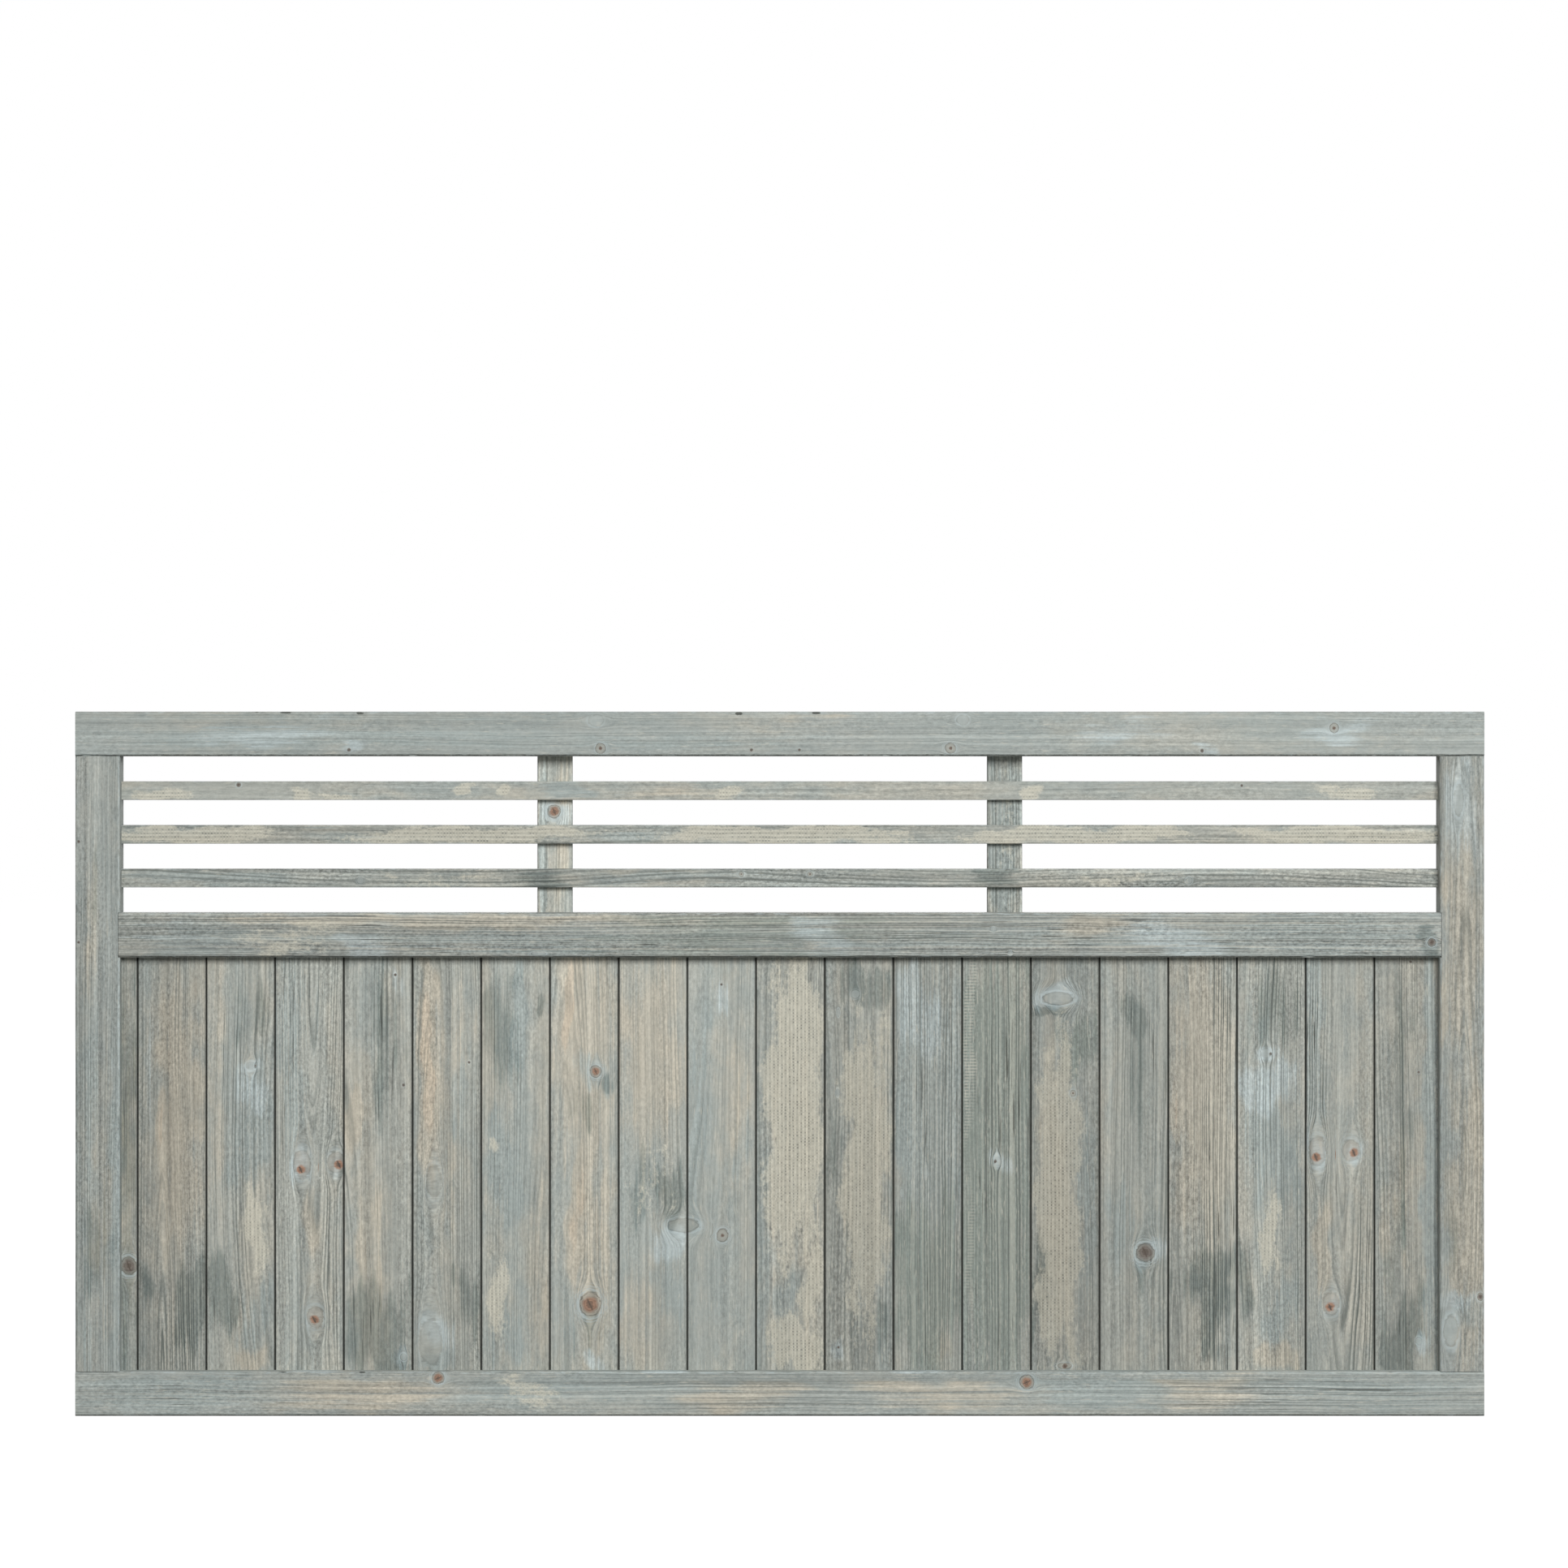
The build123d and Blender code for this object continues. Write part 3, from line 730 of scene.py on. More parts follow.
# Each patch: its tone, left, top, right, bottom and strength. They draw their edges in this order
PATCHES = {
    "top_rail": [
        ("chip", 341, 876, 359, 880, 1.0), ("chip", 440, 876, 450, 880, 0.9),
        ("chip", 311, 876, 320, 879, 0.8), ("chip", 905, 876, 915, 880, 0.9),
        ("chip", 998, 876, 1010, 880, 0.9), ("pale", 240, 885, 420, 925, 0.45),
        ("blue", 690, 905, 1010, 932, 0.5), ("pale", 1330, 885, 1460, 915, 0.4),
        ("pale", 1615, 882, 1700, 915, 0.6), ("blue", 94, 876, 700, 934, 0.45),
        ("warm", 880, 880, 1100, 905, 0.35), ("pale", 420, 915, 450, 932, 0.7),
        ("pale", 1470, 915, 1500, 932, 0.7),
    ],
    "middle_rail": [
        ("chip", 340, 1122, 362, 1126, 1.0), ("chip", 900, 1122, 914, 1126, 0.9),
        ("chip", 998, 1122, 1012, 1126, 0.9), ("lined", 260, 1120, 1000, 1185, 0.9),
        ("pale", 148, 1130, 290, 1172, 0.35), ("lined", 1040, 1120, 1800, 1185, 0.9),
        ("smoke", 600, 1160, 860, 1178, 0.4), ("blue", 178, 1130, 300, 1180, 0.9),
        ("canvas", 310, 1135, 420, 1178, 0.5), ("pale", 426, 1146, 480, 1180, 1.0),
        ("pale", 1392, 1140, 1486, 1176, 1.0), ("warm", 490, 1127, 668, 1148, 0.9),
        ("warm", 1295, 1127, 1380, 1160, 0.8), ("blue", 148, 1146, 1780, 1172, 0.55),
        ("warm", 148, 1126, 980, 1140, 0.6), ("pale", 980, 1128, 1044, 1178, 0.6),
        ("warm", 990, 1140, 1035, 1170, 0.6), ("smoke", 1750, 1140, 1774, 1180, 0.8),
        ("blue", 560, 1150, 760, 1182, 0.8), ("green", 700, 1112, 1100, 1195, 0.5),
        ("blue", 1500, 1130, 1750, 1182, 0.6),
    ],
    "bottom_rail": [
        ("chip", 340, 1689, 352, 1692, 0.9), ("chip", 440, 1689, 450, 1692, 0.9),
        ("chip", 903, 1689, 912, 1692, 1.0), ("chip", 998, 1689, 1007, 1692, 1.0),
        ("pale", 360, 1689, 420, 1692, 0.9), ("pale", 795, 1689, 845, 1692, 0.9),
        ("pale", 1100, 1689, 1160, 1692, 0.9), ("lined", 94, 1694, 420, 1742, 0.7),
        ("lined", 690, 1694, 1060, 1742, 0.5), ("lined", 1400, 1694, 1828, 1742, 0.6),
        ("blue", 110, 1690, 315, 1744, 0.8), ("warm", 328, 1690, 538, 1744, 0.6),
        ("canvas", 620, 1698, 690, 1740, 0.5), ("warm", 837, 1700, 975, 1742, 0.7),
        ("warm", 1050, 1692, 1250, 1742, 0.5), ("blue", 545, 1690, 700, 1744, 0.5),
        ("blue", 1270, 1690, 1420, 1744, 0.7), ("blue", 1560, 1690, 1828, 1744, 0.6),
        ("warm", 1420, 1690, 1560, 1744, 0.5),
    ],
    "left_stile": [
        ("blue", 94, 1230, 130, 1440, 0.5), ("warm", 100, 1040, 128, 1230, 0.45),
        ("blue", 134, 1180, 154, 1700, 0.7), ("pale", 137, 1180, 152, 1520, 0.35),
        ("smoke", 94, 1480, 146, 1600, 0.45), ("smoke", 110, 1000, 140, 1150, 0.3),
        ("blue", 94, 1600, 120, 1690, 0.4), ("warm", 110, 1240, 146, 1690, 0.45),
    ],
    "right_stile": [
        ("pale", 1775, 935, 1828, 1070, 0.6), ("warm", 1772, 940, 1836, 1320, 0.6),
        ("warm", 1772, 1200, 1784, 1300, 0.8), ("blue", 1775, 1600, 1828, 1640, 0.7),
        ("pale", 1770, 1590, 1810, 1615, 0.7), ("smoke", 1774, 1420, 1800, 1560, 0.35),
        ("warm", 1780, 1290, 1840, 1700, 0.66),
    ],
    "slat_1": [
        ("canvas", 166, 972, 240, 986, 0.8), ("canvas", 362, 966, 386, 986, 0.7),
        ("canvas", 389, 978, 441, 986, 0.7), ("canvas", 560, 966, 584, 980, 0.8),
        ("canvas", 614, 966, 628, 980, 0.8), ("canvas", 884, 966, 918, 984, 0.7),
        ("canvas", 1257, 966, 1285, 984, 0.7), ("canvas", 1612, 966, 1690, 984, 0.7),
        ("blue", 664, 964, 731, 986, 0.8), ("warm", 740, 964, 900, 986, 0.5),
    ],
    "slat_2": [
        ("canvas", 153, 1018, 356, 1040, 0.9), ("canvas", 456, 1018, 726, 1040, 0.9),
        ("canvas", 829, 1018, 1121, 1040, 0.9), ("canvas", 1178, 1018, 1445, 1040, 0.9),
        ("canvas", 1538, 1018, 1771, 1040, 0.9), ("blue", 356, 1018, 456, 1040, 0.6),
        ("blue", 726, 1018, 829, 1040, 0.6),
    ],
    "slat_3": [
        ("blue", 153, 1070, 380, 1094, 0.6), ("smoke", 643, 1070, 715, 1094, 0.7),
        ("smoke", 1200, 1070, 1256, 1094, 0.7), ("canvas", 460, 1074, 640, 1094, 0.35),
        ("canvas", 1260, 1074, 1450, 1094, 0.35), ("blue", 720, 1070, 900, 1094, 0.5),
    ],
    "batten_1": [
        ("blue", 663, 932, 674, 1124, 0.9), ("warm", 680, 940, 704, 1124, 0.5),
        ("pale", 668, 990, 704, 1016, 0.8),
    ],
    "batten_2": [("blue", 1217, 932, 1258, 1124, 0.8), ("canvas", 1224, 940, 1252, 1120, 0.3)],
    "board_01": [
        ("smoke", 140, 1170, 172, 1480, 0.66), ("smoke", 142, 1480, 170, 1700, 0.4),
        ("warm", 148, 1180, 170, 1690, 0.5),
    ],
    "board_02": [
        ("warm", 190, 1185, 250, 1540, 0.8), ("warm", 194, 1347, 204, 1428, 1.6),
        ("smoke", 172, 1545, 190, 1605, 0.8), ("smoke", 212, 1550, 258, 1650, 1.0),
        ("lined", 206, 1540, 258, 1720, 1.2), ("pale", 180, 1190, 190, 1500, 0.4),
    ],
    "board_03": [
        ("smoke", 284, 1215, 336, 1300, 0.4), ("pale", 294, 1305, 320, 1321, 0.9),
        ("blue", 288, 1320, 337, 1470, 0.9), ("pale", 291, 1321, 336, 1365, 0.7),
        ("smoke", 250, 1548, 290, 1640, 0.9), ("lined", 250, 1180, 338, 1700, 0.35),
        ("canvas", 303, 1475, 330, 1580, 0.7), ("warm", 300, 1660, 338, 1690, 0.9),
        ("warm", 255, 1185, 278, 1540, 0.5), ("blue", 290, 1580, 337, 1660, 0.6),
    ],
    "board_04": [
        ("blue", 336, 1180, 376, 1425, 0.8), ("lined", 334, 1180, 378, 1425, 0.9),
        ("lined", 396, 1450, 426, 1700, 0.7), ("pale", 355, 1415, 385, 1465, 0.7),
        ("pale", 400, 1415, 423, 1450, 0.6), ("warm", 372, 1470, 392, 1560, 0.8),
        ("pale", 376, 1612, 400, 1640, 0.5), ("blue", 375, 1185, 423, 1330, 0.3),
    ],
    "board_05": [
        ("warm", 424, 1340, 455, 1420, 0.7), ("smoke", 454, 1190, 494, 1400, 0.52),
        ("lined", 420, 1180, 512, 1700, 0.3), ("pale", 480, 1195, 500, 1230, 0.5),
        ("warm", 440, 1440, 475, 1620, 0.5), ("smoke", 430, 1580, 508, 1710, 0.9),
        ("pale", 488, 1655, 508, 1688, 0.7),
    ],
    "board_06": [
        ("warm", 517, 1180, 537, 1420, 1.9), ("warm", 510, 1185, 590, 1500, 0.5),
        ("pale", 512, 1620, 560, 1660, 0.6), ("smoke", 556, 1560, 592, 1640, 0.6),
        ("blue", 516, 1660, 560, 1690, 0.8), ("blue", 556, 1280, 592, 1480, 0.5),
    ],
    "board_07": [
        ("smoke", 594, 1185, 640, 1330, 0.6), ("blue", 628, 1215, 650, 1350, 0.8),
        ("smoke", 660, 1225, 670, 1255, 0.8), ("canvas", 600, 1400, 614, 1420, 0.6),
        ("canvas", 600, 1529, 625, 1640, 0.65), ("blue", 594, 1380, 640, 1520, 0.7),
        ("warm", 640, 1440, 676, 1680, 0.5), ("blue", 594, 1620, 660, 1690, 0.5),
    ],
    "board_08": [
        ("warm", 692, 1188, 708, 1330, 1.9), ("warm", 690, 1185, 760, 1320, 0.4),
        ("smoke", 738, 1325, 760, 1350, 0.6), ("blue", 706, 1300, 752, 1345, 0.6),
        ("smoke", 700, 1340, 750, 1390, 0.4), ("warm", 674, 1160, 764, 1450, 0.75),
        ("warm", 674, 1440, 764, 1700, 0.4), ("smoke", 680, 1585, 760, 1690, 0.25),
        ("warm", 700, 1430, 724, 1575, 1.6), ("warm", 724, 1436, 760, 1575, 0.6),
        ("blue", 690, 1590, 718, 1690, 0.5), ("pale", 722, 1665, 745, 1690, 0.5),
    ],
    "board_09": [
        ("warm", 764, 1185, 845, 1420, 0.8), ("smoke", 774, 1402, 800, 1500, 0.6),
        ("smoke", 800, 1430, 846, 1500, 0.75), ("canvas", 774, 1400, 842, 1505, 0.3),
        ("pale", 806, 1508, 846, 1552, 0.9), ("warm", 766, 1540, 805, 1690, 0.7),
        ("blue", 800, 1540, 846, 1640, 0.7),
    ],
    "board_10": [
        ("blue", 847, 1200, 876, 1520, 0.4), ("pale", 878, 1205, 900, 1250, 0.5),
        ("warm", 890, 1230, 930, 1500, 0.3), ("blue", 905, 1380, 931, 1460, 0.5),
    ],
    "board_11": [
        ("canvas", 945, 1188, 1014, 1545, 1.0), ("canvas", 986, 1545, 1014, 1630, 0.8),
        ("canvas", 950, 1625, 1014, 1690, 0.95), ("blue", 932, 1400, 950, 1690, 0.6),
        ("blue", 950, 1548, 986, 1630, 0.7), ("warm", 940, 1188, 1014, 1690, 0.5),
    ],
    "board_12": [
        ("canvas", 1038, 1256, 1095, 1630, 0.8), ("warm", 1036, 1280, 1098, 1560, 0.5),
        ("smoke", 1018, 1185, 1100, 1240, 0.45), ("smoke", 1018, 1370, 1040, 1480, 0.5),
        ("pale", 1025, 1650, 1040, 1680, 0.7), ("smoke", 1050, 1600, 1098, 1680, 0.4),
    ],
    "board_13": [
        ("lined", 1120, 1185, 1184, 1690, 1.0), ("pale", 1104, 1196, 1160, 1300, 0.8),
        ("blue", 1104, 1200, 1184, 1560, 1.0), ("green", 1104, 1480, 1184, 1685, 0.9),
        ("warm", 1138, 1640, 1172, 1680, 0.8), ("blue", 1160, 1200, 1184, 1400, 0.6),
    ],
    "board_14": [
        ("green", 1180, 1170, 1275, 1700, 1.0), ("planer", 1186, 1198, 1202, 1410, 1.0),
        ("planer", 1188, 1410, 1202, 1680, 0.5), ("lined", 1204, 1190, 1268, 1690, 0.8),
        ("warm", 1232, 1240, 1266, 1420, 0.4), ("pale", 1215, 1420, 1245, 1445, 0.6),
        ("green", 1205, 1500, 1232, 1590, 0.9),
    ],
    "board_15": [
        ("pale", 1276, 1212, 1330, 1242, 0.8), ("smoke", 1275, 1240, 1320, 1252, 0.9),
        ("canvas", 1279, 1300, 1330, 1680, 1.0), ("warm", 1279, 1300, 1326, 1670, 0.5),
        ("smoke", 1271, 1535, 1292, 1655, 0.8), ("blue", 1325, 1350, 1355, 1600, 0.7),
        ("green", 1300, 1245, 1352, 1320, 0.6),
    ],
    "board_16": [
        ("smoke", 1388, 1222, 1418, 1275, 0.9), ("smoke", 1386, 1180, 1420, 1400, 0.45),
        ("lined", 1416, 1180, 1440, 1700, 0.7), ("pale", 1395, 1526, 1432, 1560, 0.7),
        ("smoke", 1395, 1500, 1436, 1600, 0.4), ("blue", 1356, 1440, 1396, 1560, 0.5),
    ],
    "board_17": [
        ("warm", 1441, 1185, 1522, 1540, 0.9), ("warm", 1445, 1330, 1455, 1412, 1.6),
        ("smoke", 1464, 1535, 1526, 1620, 0.9), ("smoke", 1476, 1600, 1500, 1670, 0.7),
        ("lined", 1488, 1170, 1530, 1720, 1.3), ("smoke", 1441, 1550, 1470, 1600, 0.5),
    ],
    "board_18": [
        ("pale", 1546, 1290, 1574, 1306, 0.9), ("pale", 1526, 1310, 1606, 1366, 0.8),
        ("blue", 1540, 1360, 1606, 1480, 0.8), ("canvas", 1554, 1456, 1578, 1560, 0.7),
        ("warm", 1552, 1656, 1607, 1688, 0.9), ("smoke", 1526, 1536, 1542, 1620, 0.8),
        ("smoke", 1538, 1200, 1610, 1290, 0.55), ("blue", 1560, 1570, 1606, 1650, 0.6),
    ],
    "board_19": [
        ("blue", 1606, 1180, 1630, 1415, 0.8), ("lined", 1606, 1180, 1630, 1415, 0.8),
        ("pale", 1610, 1405, 1632, 1445, 0.6), ("pale", 1655, 1405, 1682, 1432, 0.6),
        ("warm", 1620, 1460, 1642, 1590, 0.8), ("lined", 1642, 1430, 1698, 1700, 0.7),
        ("pale", 1628, 1598, 1650, 1622, 0.5),
    ],
    "board_20": [
        ("smoke", 1706, 1175, 1740, 1500, 0.55), ("warm", 1700, 1400, 1740, 1600, 0.6),
        ("smoke", 1704, 1600, 1752, 1710, 0.9), ("pale", 1742, 1640, 1758, 1670, 0.7),
        # The blue strip along this board's right edge is painted shade beside the right stile
        ("blue", 1752, 1180, 1774, 1690, 0.9), ("green", 1708, 1440, 1730, 1600, 0.5),
    ],
}
# Each look of a knot: how red and how dark its heart is, the heart's size, its rings and its pale ring
KNOT_LOOKS = {
    "red": (0.8, 0.6, 0.8, 1.0, 1.0),
    "eye": (1.0, 0.8, 0.6, 0.35, 0.45),
    "brown": (0.05, 0.85, 0.9, 1.0, 0.7),
    "ringed": (0.25, 0.6, 0.35, 0.8, 0.7),
    "pale": (0.0, 0.0, 0.0, 0.1, 0.7),
    "oval": (0.1, 0.0, 0.0, 0.3, 0.3),
    "ear": (0.0, 0.0, 0.0, 0.5, 0.8),
    "pin": (0.0, 1.0, 1.0, 0.0, 0.3),
}
# How light a piece's glaze is, and how strongly it shows its rings, streaks and mottle
GLAZE = {
    "top_rail": (1.0, 0.6), "middle_rail": (0.885, 1.35), "bottom_rail": (0.99, 0.9),
    "left_stile": (0.92, 1.2), "right_stile": (0.82, 1.0), "slat_1": (1.005, 0.75), "slat_2": (0.945, 1.4),
    "slat_3": (0.93, 1.65), "batten_1": (1.2, 1.3), "batten_2": (0.92, 1.6), "board_01": (0.85, 1.2),
    "board_02": (0.83, 1.2), "board_03": (0.985, 1.0), "board_04": (1.05, 1.2), "board_05": (1.015, 1.0),
    "board_06": (0.96, 1.2), "board_07": (1.03, 0.88), "board_08": (1.06, 0.82), "board_09": (1.045, 0.76),
    "board_10": (1.03, 0.62), "board_11": (0.915, 1.2), "board_12": (0.775, 1.2), "board_13": (0.835, 0.95),
    "board_14": (0.87, 1.0), "board_15": (0.725, 1.0), "board_16": (0.86, 0.85), "board_17": (0.85, 1.25),
    "board_18": (0.94, 1.2), "board_19": (0.875, 1.0), "board_20": (0.85, 1.0),
}
knot_slimness = 0.55  # the fibres part round a knot over this much less along the grain
knot_reach = 2.1  # radii over which they part
knot_fringe = 0.4
knot_fade_depth = 0.03
patch_fall = 0.9
patch_squareness = 3
patch_waves_along = ((43, 1.0), (101, 0.6))
patch_waves_across = ((95, 1.0), (230, 0.6))
back_loss = 0.7
smoke_loss_inside = 0.7
chip_depth = 0.005
under_arris_shade = 0.55  # painted shade on the lower front arris of each rail
inner_arris_highlight = 0.45  # painted highlight on the inner front arris of the left stile
arris_wear = 0.28  # shares of the arris
arris_chips = 0.45
joint_shade_from = 0.0002
joint_shade_depth = 0.002
low_board_darkening = 0.08  # darkens the boards towards the bottom
darkening_top = 0.5
darkening_foot = 0.1
canvas_columns = 200.0  # to a metre
canvas_rows = 255.0
planer_cuts = 250.0

# What the finish reads from the mesh: three values to each attribute
KNOT_FIELDS = {
    "knot": "knot_x knot_y knot_size",
    "knot_look": "knot_shown red dark",
    "knot_form": "spot rings halo",
    "knot_heart": "heart_x heart_y stretch",
}
WOOD_FIELDS = {
    "tint": "warm blue pale",
    "weathering": "smoke canvas green",
    "marks": "planer chip lined",
    "edges": "edge recess lot",
    "stock": "pitch glaze contrast",
}
TONES = ("warm", "blue", "pale", "smoke", "canvas", "green", "planer", "chip", "lined")


# Wood growth


def piece_seed(name):
    return sum((number + 3) * ord(letter) for number, letter in enumerate(name)) % 9973


PLACED_GROWTH = {
    "board_02": Growth(-0.008, 0.010, 0.028, 0.003, 0.0034),
    "board_04": Growth(0.010, 0.014, -0.022, 0.004, 0.0036),
    "board_06": Growth(-0.016, 0.010, 0.030, 0.003, 0.0036),
    "board_08": Growth(-0.018, 0.012, 0.030, 0.004, 0.0038),
    "board_17": Growth(-0.028, 0.014, 0.026, 0.003, 0.0034),
    "board_19": Growth(0.008, 0.014, -0.024, 0.004, 0.0036),
    "right_stile": Growth(0.004, 0.006, 0.045, 0.003, 0.0032),
    "bottom_rail": Growth(0.130, 0.012, 0.002, 0.002, 0.0043),
    "top_rail": Growth(0.150, 0.030, 0.004, 0.003, 0.0050),
    "middle_rail": Growth(-0.120, 0.020, 0.003, 0.003, 0.0036),
}


def timber_growth(name):
    """Where the pith lay beside the piece, how it wandered, and how far apart the rings stand."""
    draw = np.random.default_rng(piece_seed(name))
    side = draw.choice((-1.0, 1.0))
    growth = Growth(
        pith_across=side * draw.uniform(0.03, 0.09),
        pith_depth=draw.uniform(0.006, 0.045),
        slope=draw.uniform(-0.03, 0.03),
        sway=draw.uniform(0.002, 0.006),
        pitch=draw.uniform(0.0036, 0.0050),
    )
    return PLACED_GROWTH.get(name, growth)


def face_place(name, px, py, upright):
    """A pixel on a piece's front face, as its place across and along the grain."""
    x, z = on_face(px, py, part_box(name)[0].y)
    return (x, z) if upright else (-z, x)


def knot_fields(name, upright, across, depth, along):
    """Each vertex's place beside the nearest knot, in the knot's radii, and that knot's look and form."""
    face_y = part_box(name)[0].y
    count = len(across)
    nearest = np.full(count, 1e9)
    place, look, form, heart = (np.zeros((count, 3)) for _ in range(4))
    place[:, 0] = 9.0
    through = np.exp(-np.clip(depth - face_y, 0, None) / knot_fade_depth)
    for knot in (Knot(*row) for row in KNOTS.get(name, [])):
        middle_across, middle_along = face_place(name, knot.px, knot.py, upright)
        radius = knot.radius * (face_y - eye.y) / pixels_per_ratio
        stretch = knot.stretch if upright else 1 / knot.stretch
        side = (across - middle_across) / radius
        run = (along - middle_along) / (radius * stretch)
        reach = np.hypot(side, knot_slimness * run)
        closer = reach < nearest
        nearest = np.where(closer, reach, nearest)
        red, dark, spot, rings, halo = KNOT_LOOKS[knot.look]
        shown = np.clip((knot_reach + knot_fringe - reach) / knot_fringe, 0, 1) * through
        place[closer] = np.stack([side, run, np.full(count, radius)], 1)[closer]
        look[closer] = np.stack([shown, np.full(count, red), np.full(count, dark)], 1)[closer]
        form[closer] = (spot, rings, halo)
        off_x, off_z = knot.heart_px / knot.radius, -knot.heart_py / knot.radius
        heart[closer] = (off_x, off_z, stretch) if upright else (-off_z, off_x, stretch)
    return place, look, form, heart


def grain_fields(name, growth, across, depth, along):
    """The grain's place at each vertex, measured from the pith."""
    face_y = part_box(name)[0].y
    from_middle = along - (along.min() + along.max()) / 2
    middle_across = (across.min() + across.max()) / 2
    wander = growth.sway * np.sin(from_middle * 9.0 + piece_seed(name))
    side = across - middle_across - growth.pith_across + 0.5 * growth.sway * np.sin(along * 5.0)
    deep = (depth - face_y) - growth.pith_depth - wander - growth.slope * from_middle
    return np.stack([side, deep, along], 1)


def waves(places, rates, starts):
    return sum(height * np.sin(places * rate + start) for (rate, height), start in zip(rates, starts))


def patch_fields(name, upright, across, depth, along):
    """How far each vertex lies in the patches of each tone, which are weaker on the back."""
    low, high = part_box(name)
    fresh = 1.0 - back_loss * np.clip((depth - low.y) / (high.y - low.y), 0, 1)
    behind = np.clip((depth - low.y) / chip_depth, 0, 1)
    tones = {tone: np.zeros(len(across)) for tone in TONES}
    draw = np.random.default_rng(piece_seed(name) + 2)
    for patch in (Patch(*row) for row in PATCHES[name]):
        first = face_place(name, patch.left, patch.top, upright)
        second = face_place(name, patch.right, patch.bottom, upright)
        bend = draw.uniform(0, 2 * math.pi, 4)
        moved = (waves(along, patch_waves_along, bend[:2]), waves(across, patch_waves_across, bend[2:]))
        reach = 0.0
        for value, start, end, aside, limit in zip((across, along), first, second, moved, (0.006, 0.02)):
            half = abs(end - start) / 2
            bent = value + aside * min(limit, half * 0.3)
            reach = reach + (np.abs(bent - (start + end) / 2) / half) ** patch_squareness
        strength = patch.strength * np.exp(-patch_fall * reach) * fresh
        if patch.tone == "chip":
            strength = strength * (1 - behind)
        if patch.tone in ("smoke", "lined"):
            strength = strength * (1 - smoke_loss_inside * behind)
        tones[patch.tone] = np.maximum(tones[patch.tone], strength)
    return tones


def store(mesh, name, values):
    attribute = mesh.attributes.new(name, "FLOAT_VECTOR", "POINT")
    attribute.data.foreach_set("vector", np.ascontiguousarray(values, np.float32).ravel())


def edge_fields(timber, across, depth):
    """How near each vertex lies to a long arris, and how deep in a joint."""
    low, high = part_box(timber.node)
    # recess: how deep a vertex lies in a joint, which the finish darkens with painted shade and dirt
    if timber.slot == "board_timber":
        face_low, face_high = board_edges(int(timber.node[-2:]))
        inside = np.clip((depth - low.y - joint_shade_from) / joint_shade_depth, 0, 1)
        recess = inside * np.clip((high.y - depth - joint_shade_from) / joint_shade_depth, 0, 1)
        reach = board_arris * 1.6
    else:
        face_low, face_high = (low.x, high.x) if timber.upright else (-high.z, -low.z)
        inside = np.minimum.reduce([across - face_low, face_high - across, depth - low.y, high.y - depth])
        recess = np.clip((inside - timber.arris * 0.5) / joint_shade_depth, 0, 1)
        reach = timber.arris * 1.15
    corner_across = np.minimum(np.abs(across - face_low), np.abs(across - face_high))
    corner_depth = np.minimum(np.abs(depth - low.y), np.abs(depth - high.y))
    corner = np.hypot(corner_across, corner_depth)
    return np.clip((reach - corner) / (reach * 0.5), 0, 1), recess


def grow(piece, timber):
    """Writes the grain, knots, patches, worn edges and joints to the finished mesh, for the finish to read,
    with painted shade on the rails' lower arrises and in the joints, and a painted highlight on the left
    stile's inner arris.
    """
    mesh = piece.data
    name = timber.node
    count = len(mesh.vertices)
    places = np.zeros(count * 3, np.float32)
    mesh.vertices.foreach_get("co", places)
    x, y, z = places.reshape(-1, 3).astype(float).T
    across, along = (x, z) if timber.upright else (-z, x)
    fields = patch_fields(name, timber.upright, across, y, along)
    draw = np.random.default_rng(piece_seed(name) + 1)
    offset = draw.uniform(-20, 20, 3)
    fields["lot"] = np.full(count, draw.uniform(0, 1))
    fields["edge"], fields["recess"] = edge_fields(timber, across, y)
    low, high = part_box(name)
    ahead = fields["edge"] * (y < (low.y + high.y) / 2)
    # Painted shade on the lower front arris of each rail, which faces down, away from the lamps
    if name.endswith("rail"):
        under = under_arris_shade * ahead * (z < low.z + timber.arris * 1.2)
        fields["chip"] = np.maximum(fields["chip"], under)
    # Painted highlight on the inner front arris of the left stile, which faces the lamp
    if name == "left_stile":
        inner = inner_arris_highlight * ahead * (x > high.x - timber.arris * 1.2)
        fields["pale"] = np.maximum(fields["pale"], inner)
    glaze, contrast = GLAZE[name]
    fields["glaze"] = np.full(count, glaze)
    if timber.slot == "board_timber":
        sunk = np.clip((darkening_top - z) / (darkening_top - darkening_foot), 0, 1)
        fields["glaze"] *= 1 + low_board_darkening * (0.5 - sunk)
    fields["contrast"] = np.full(count, contrast)
    fields["pitch"] = np.full(count, timber.growth.pitch)
    store(mesh, "grain", grain_fields(name, timber.growth, across, y, along))
    store(mesh, "fibre", np.stack([across + offset[0], y + offset[1], along + offset[2]], 1))
    for attribute, values in zip(KNOT_FIELDS, knot_fields(name, timber.upright, across, y, along)):
        store(mesh, attribute, values)
    for attribute, names in WOOD_FIELDS.items():
        store(mesh, attribute, np.stack([fields[field] for field in names.split()], 1))


# Materials


def cleared(owner):
    """The emptied node tree of a new material or world."""
    owner.use_nodes = True
    owner.node_tree.nodes.clear()
    return Graph(owner.node_tree)


def attribute(graph, name):
    return graph.add("ShaderNodeAttribute", attribute_name=name).outputs["Vector"]


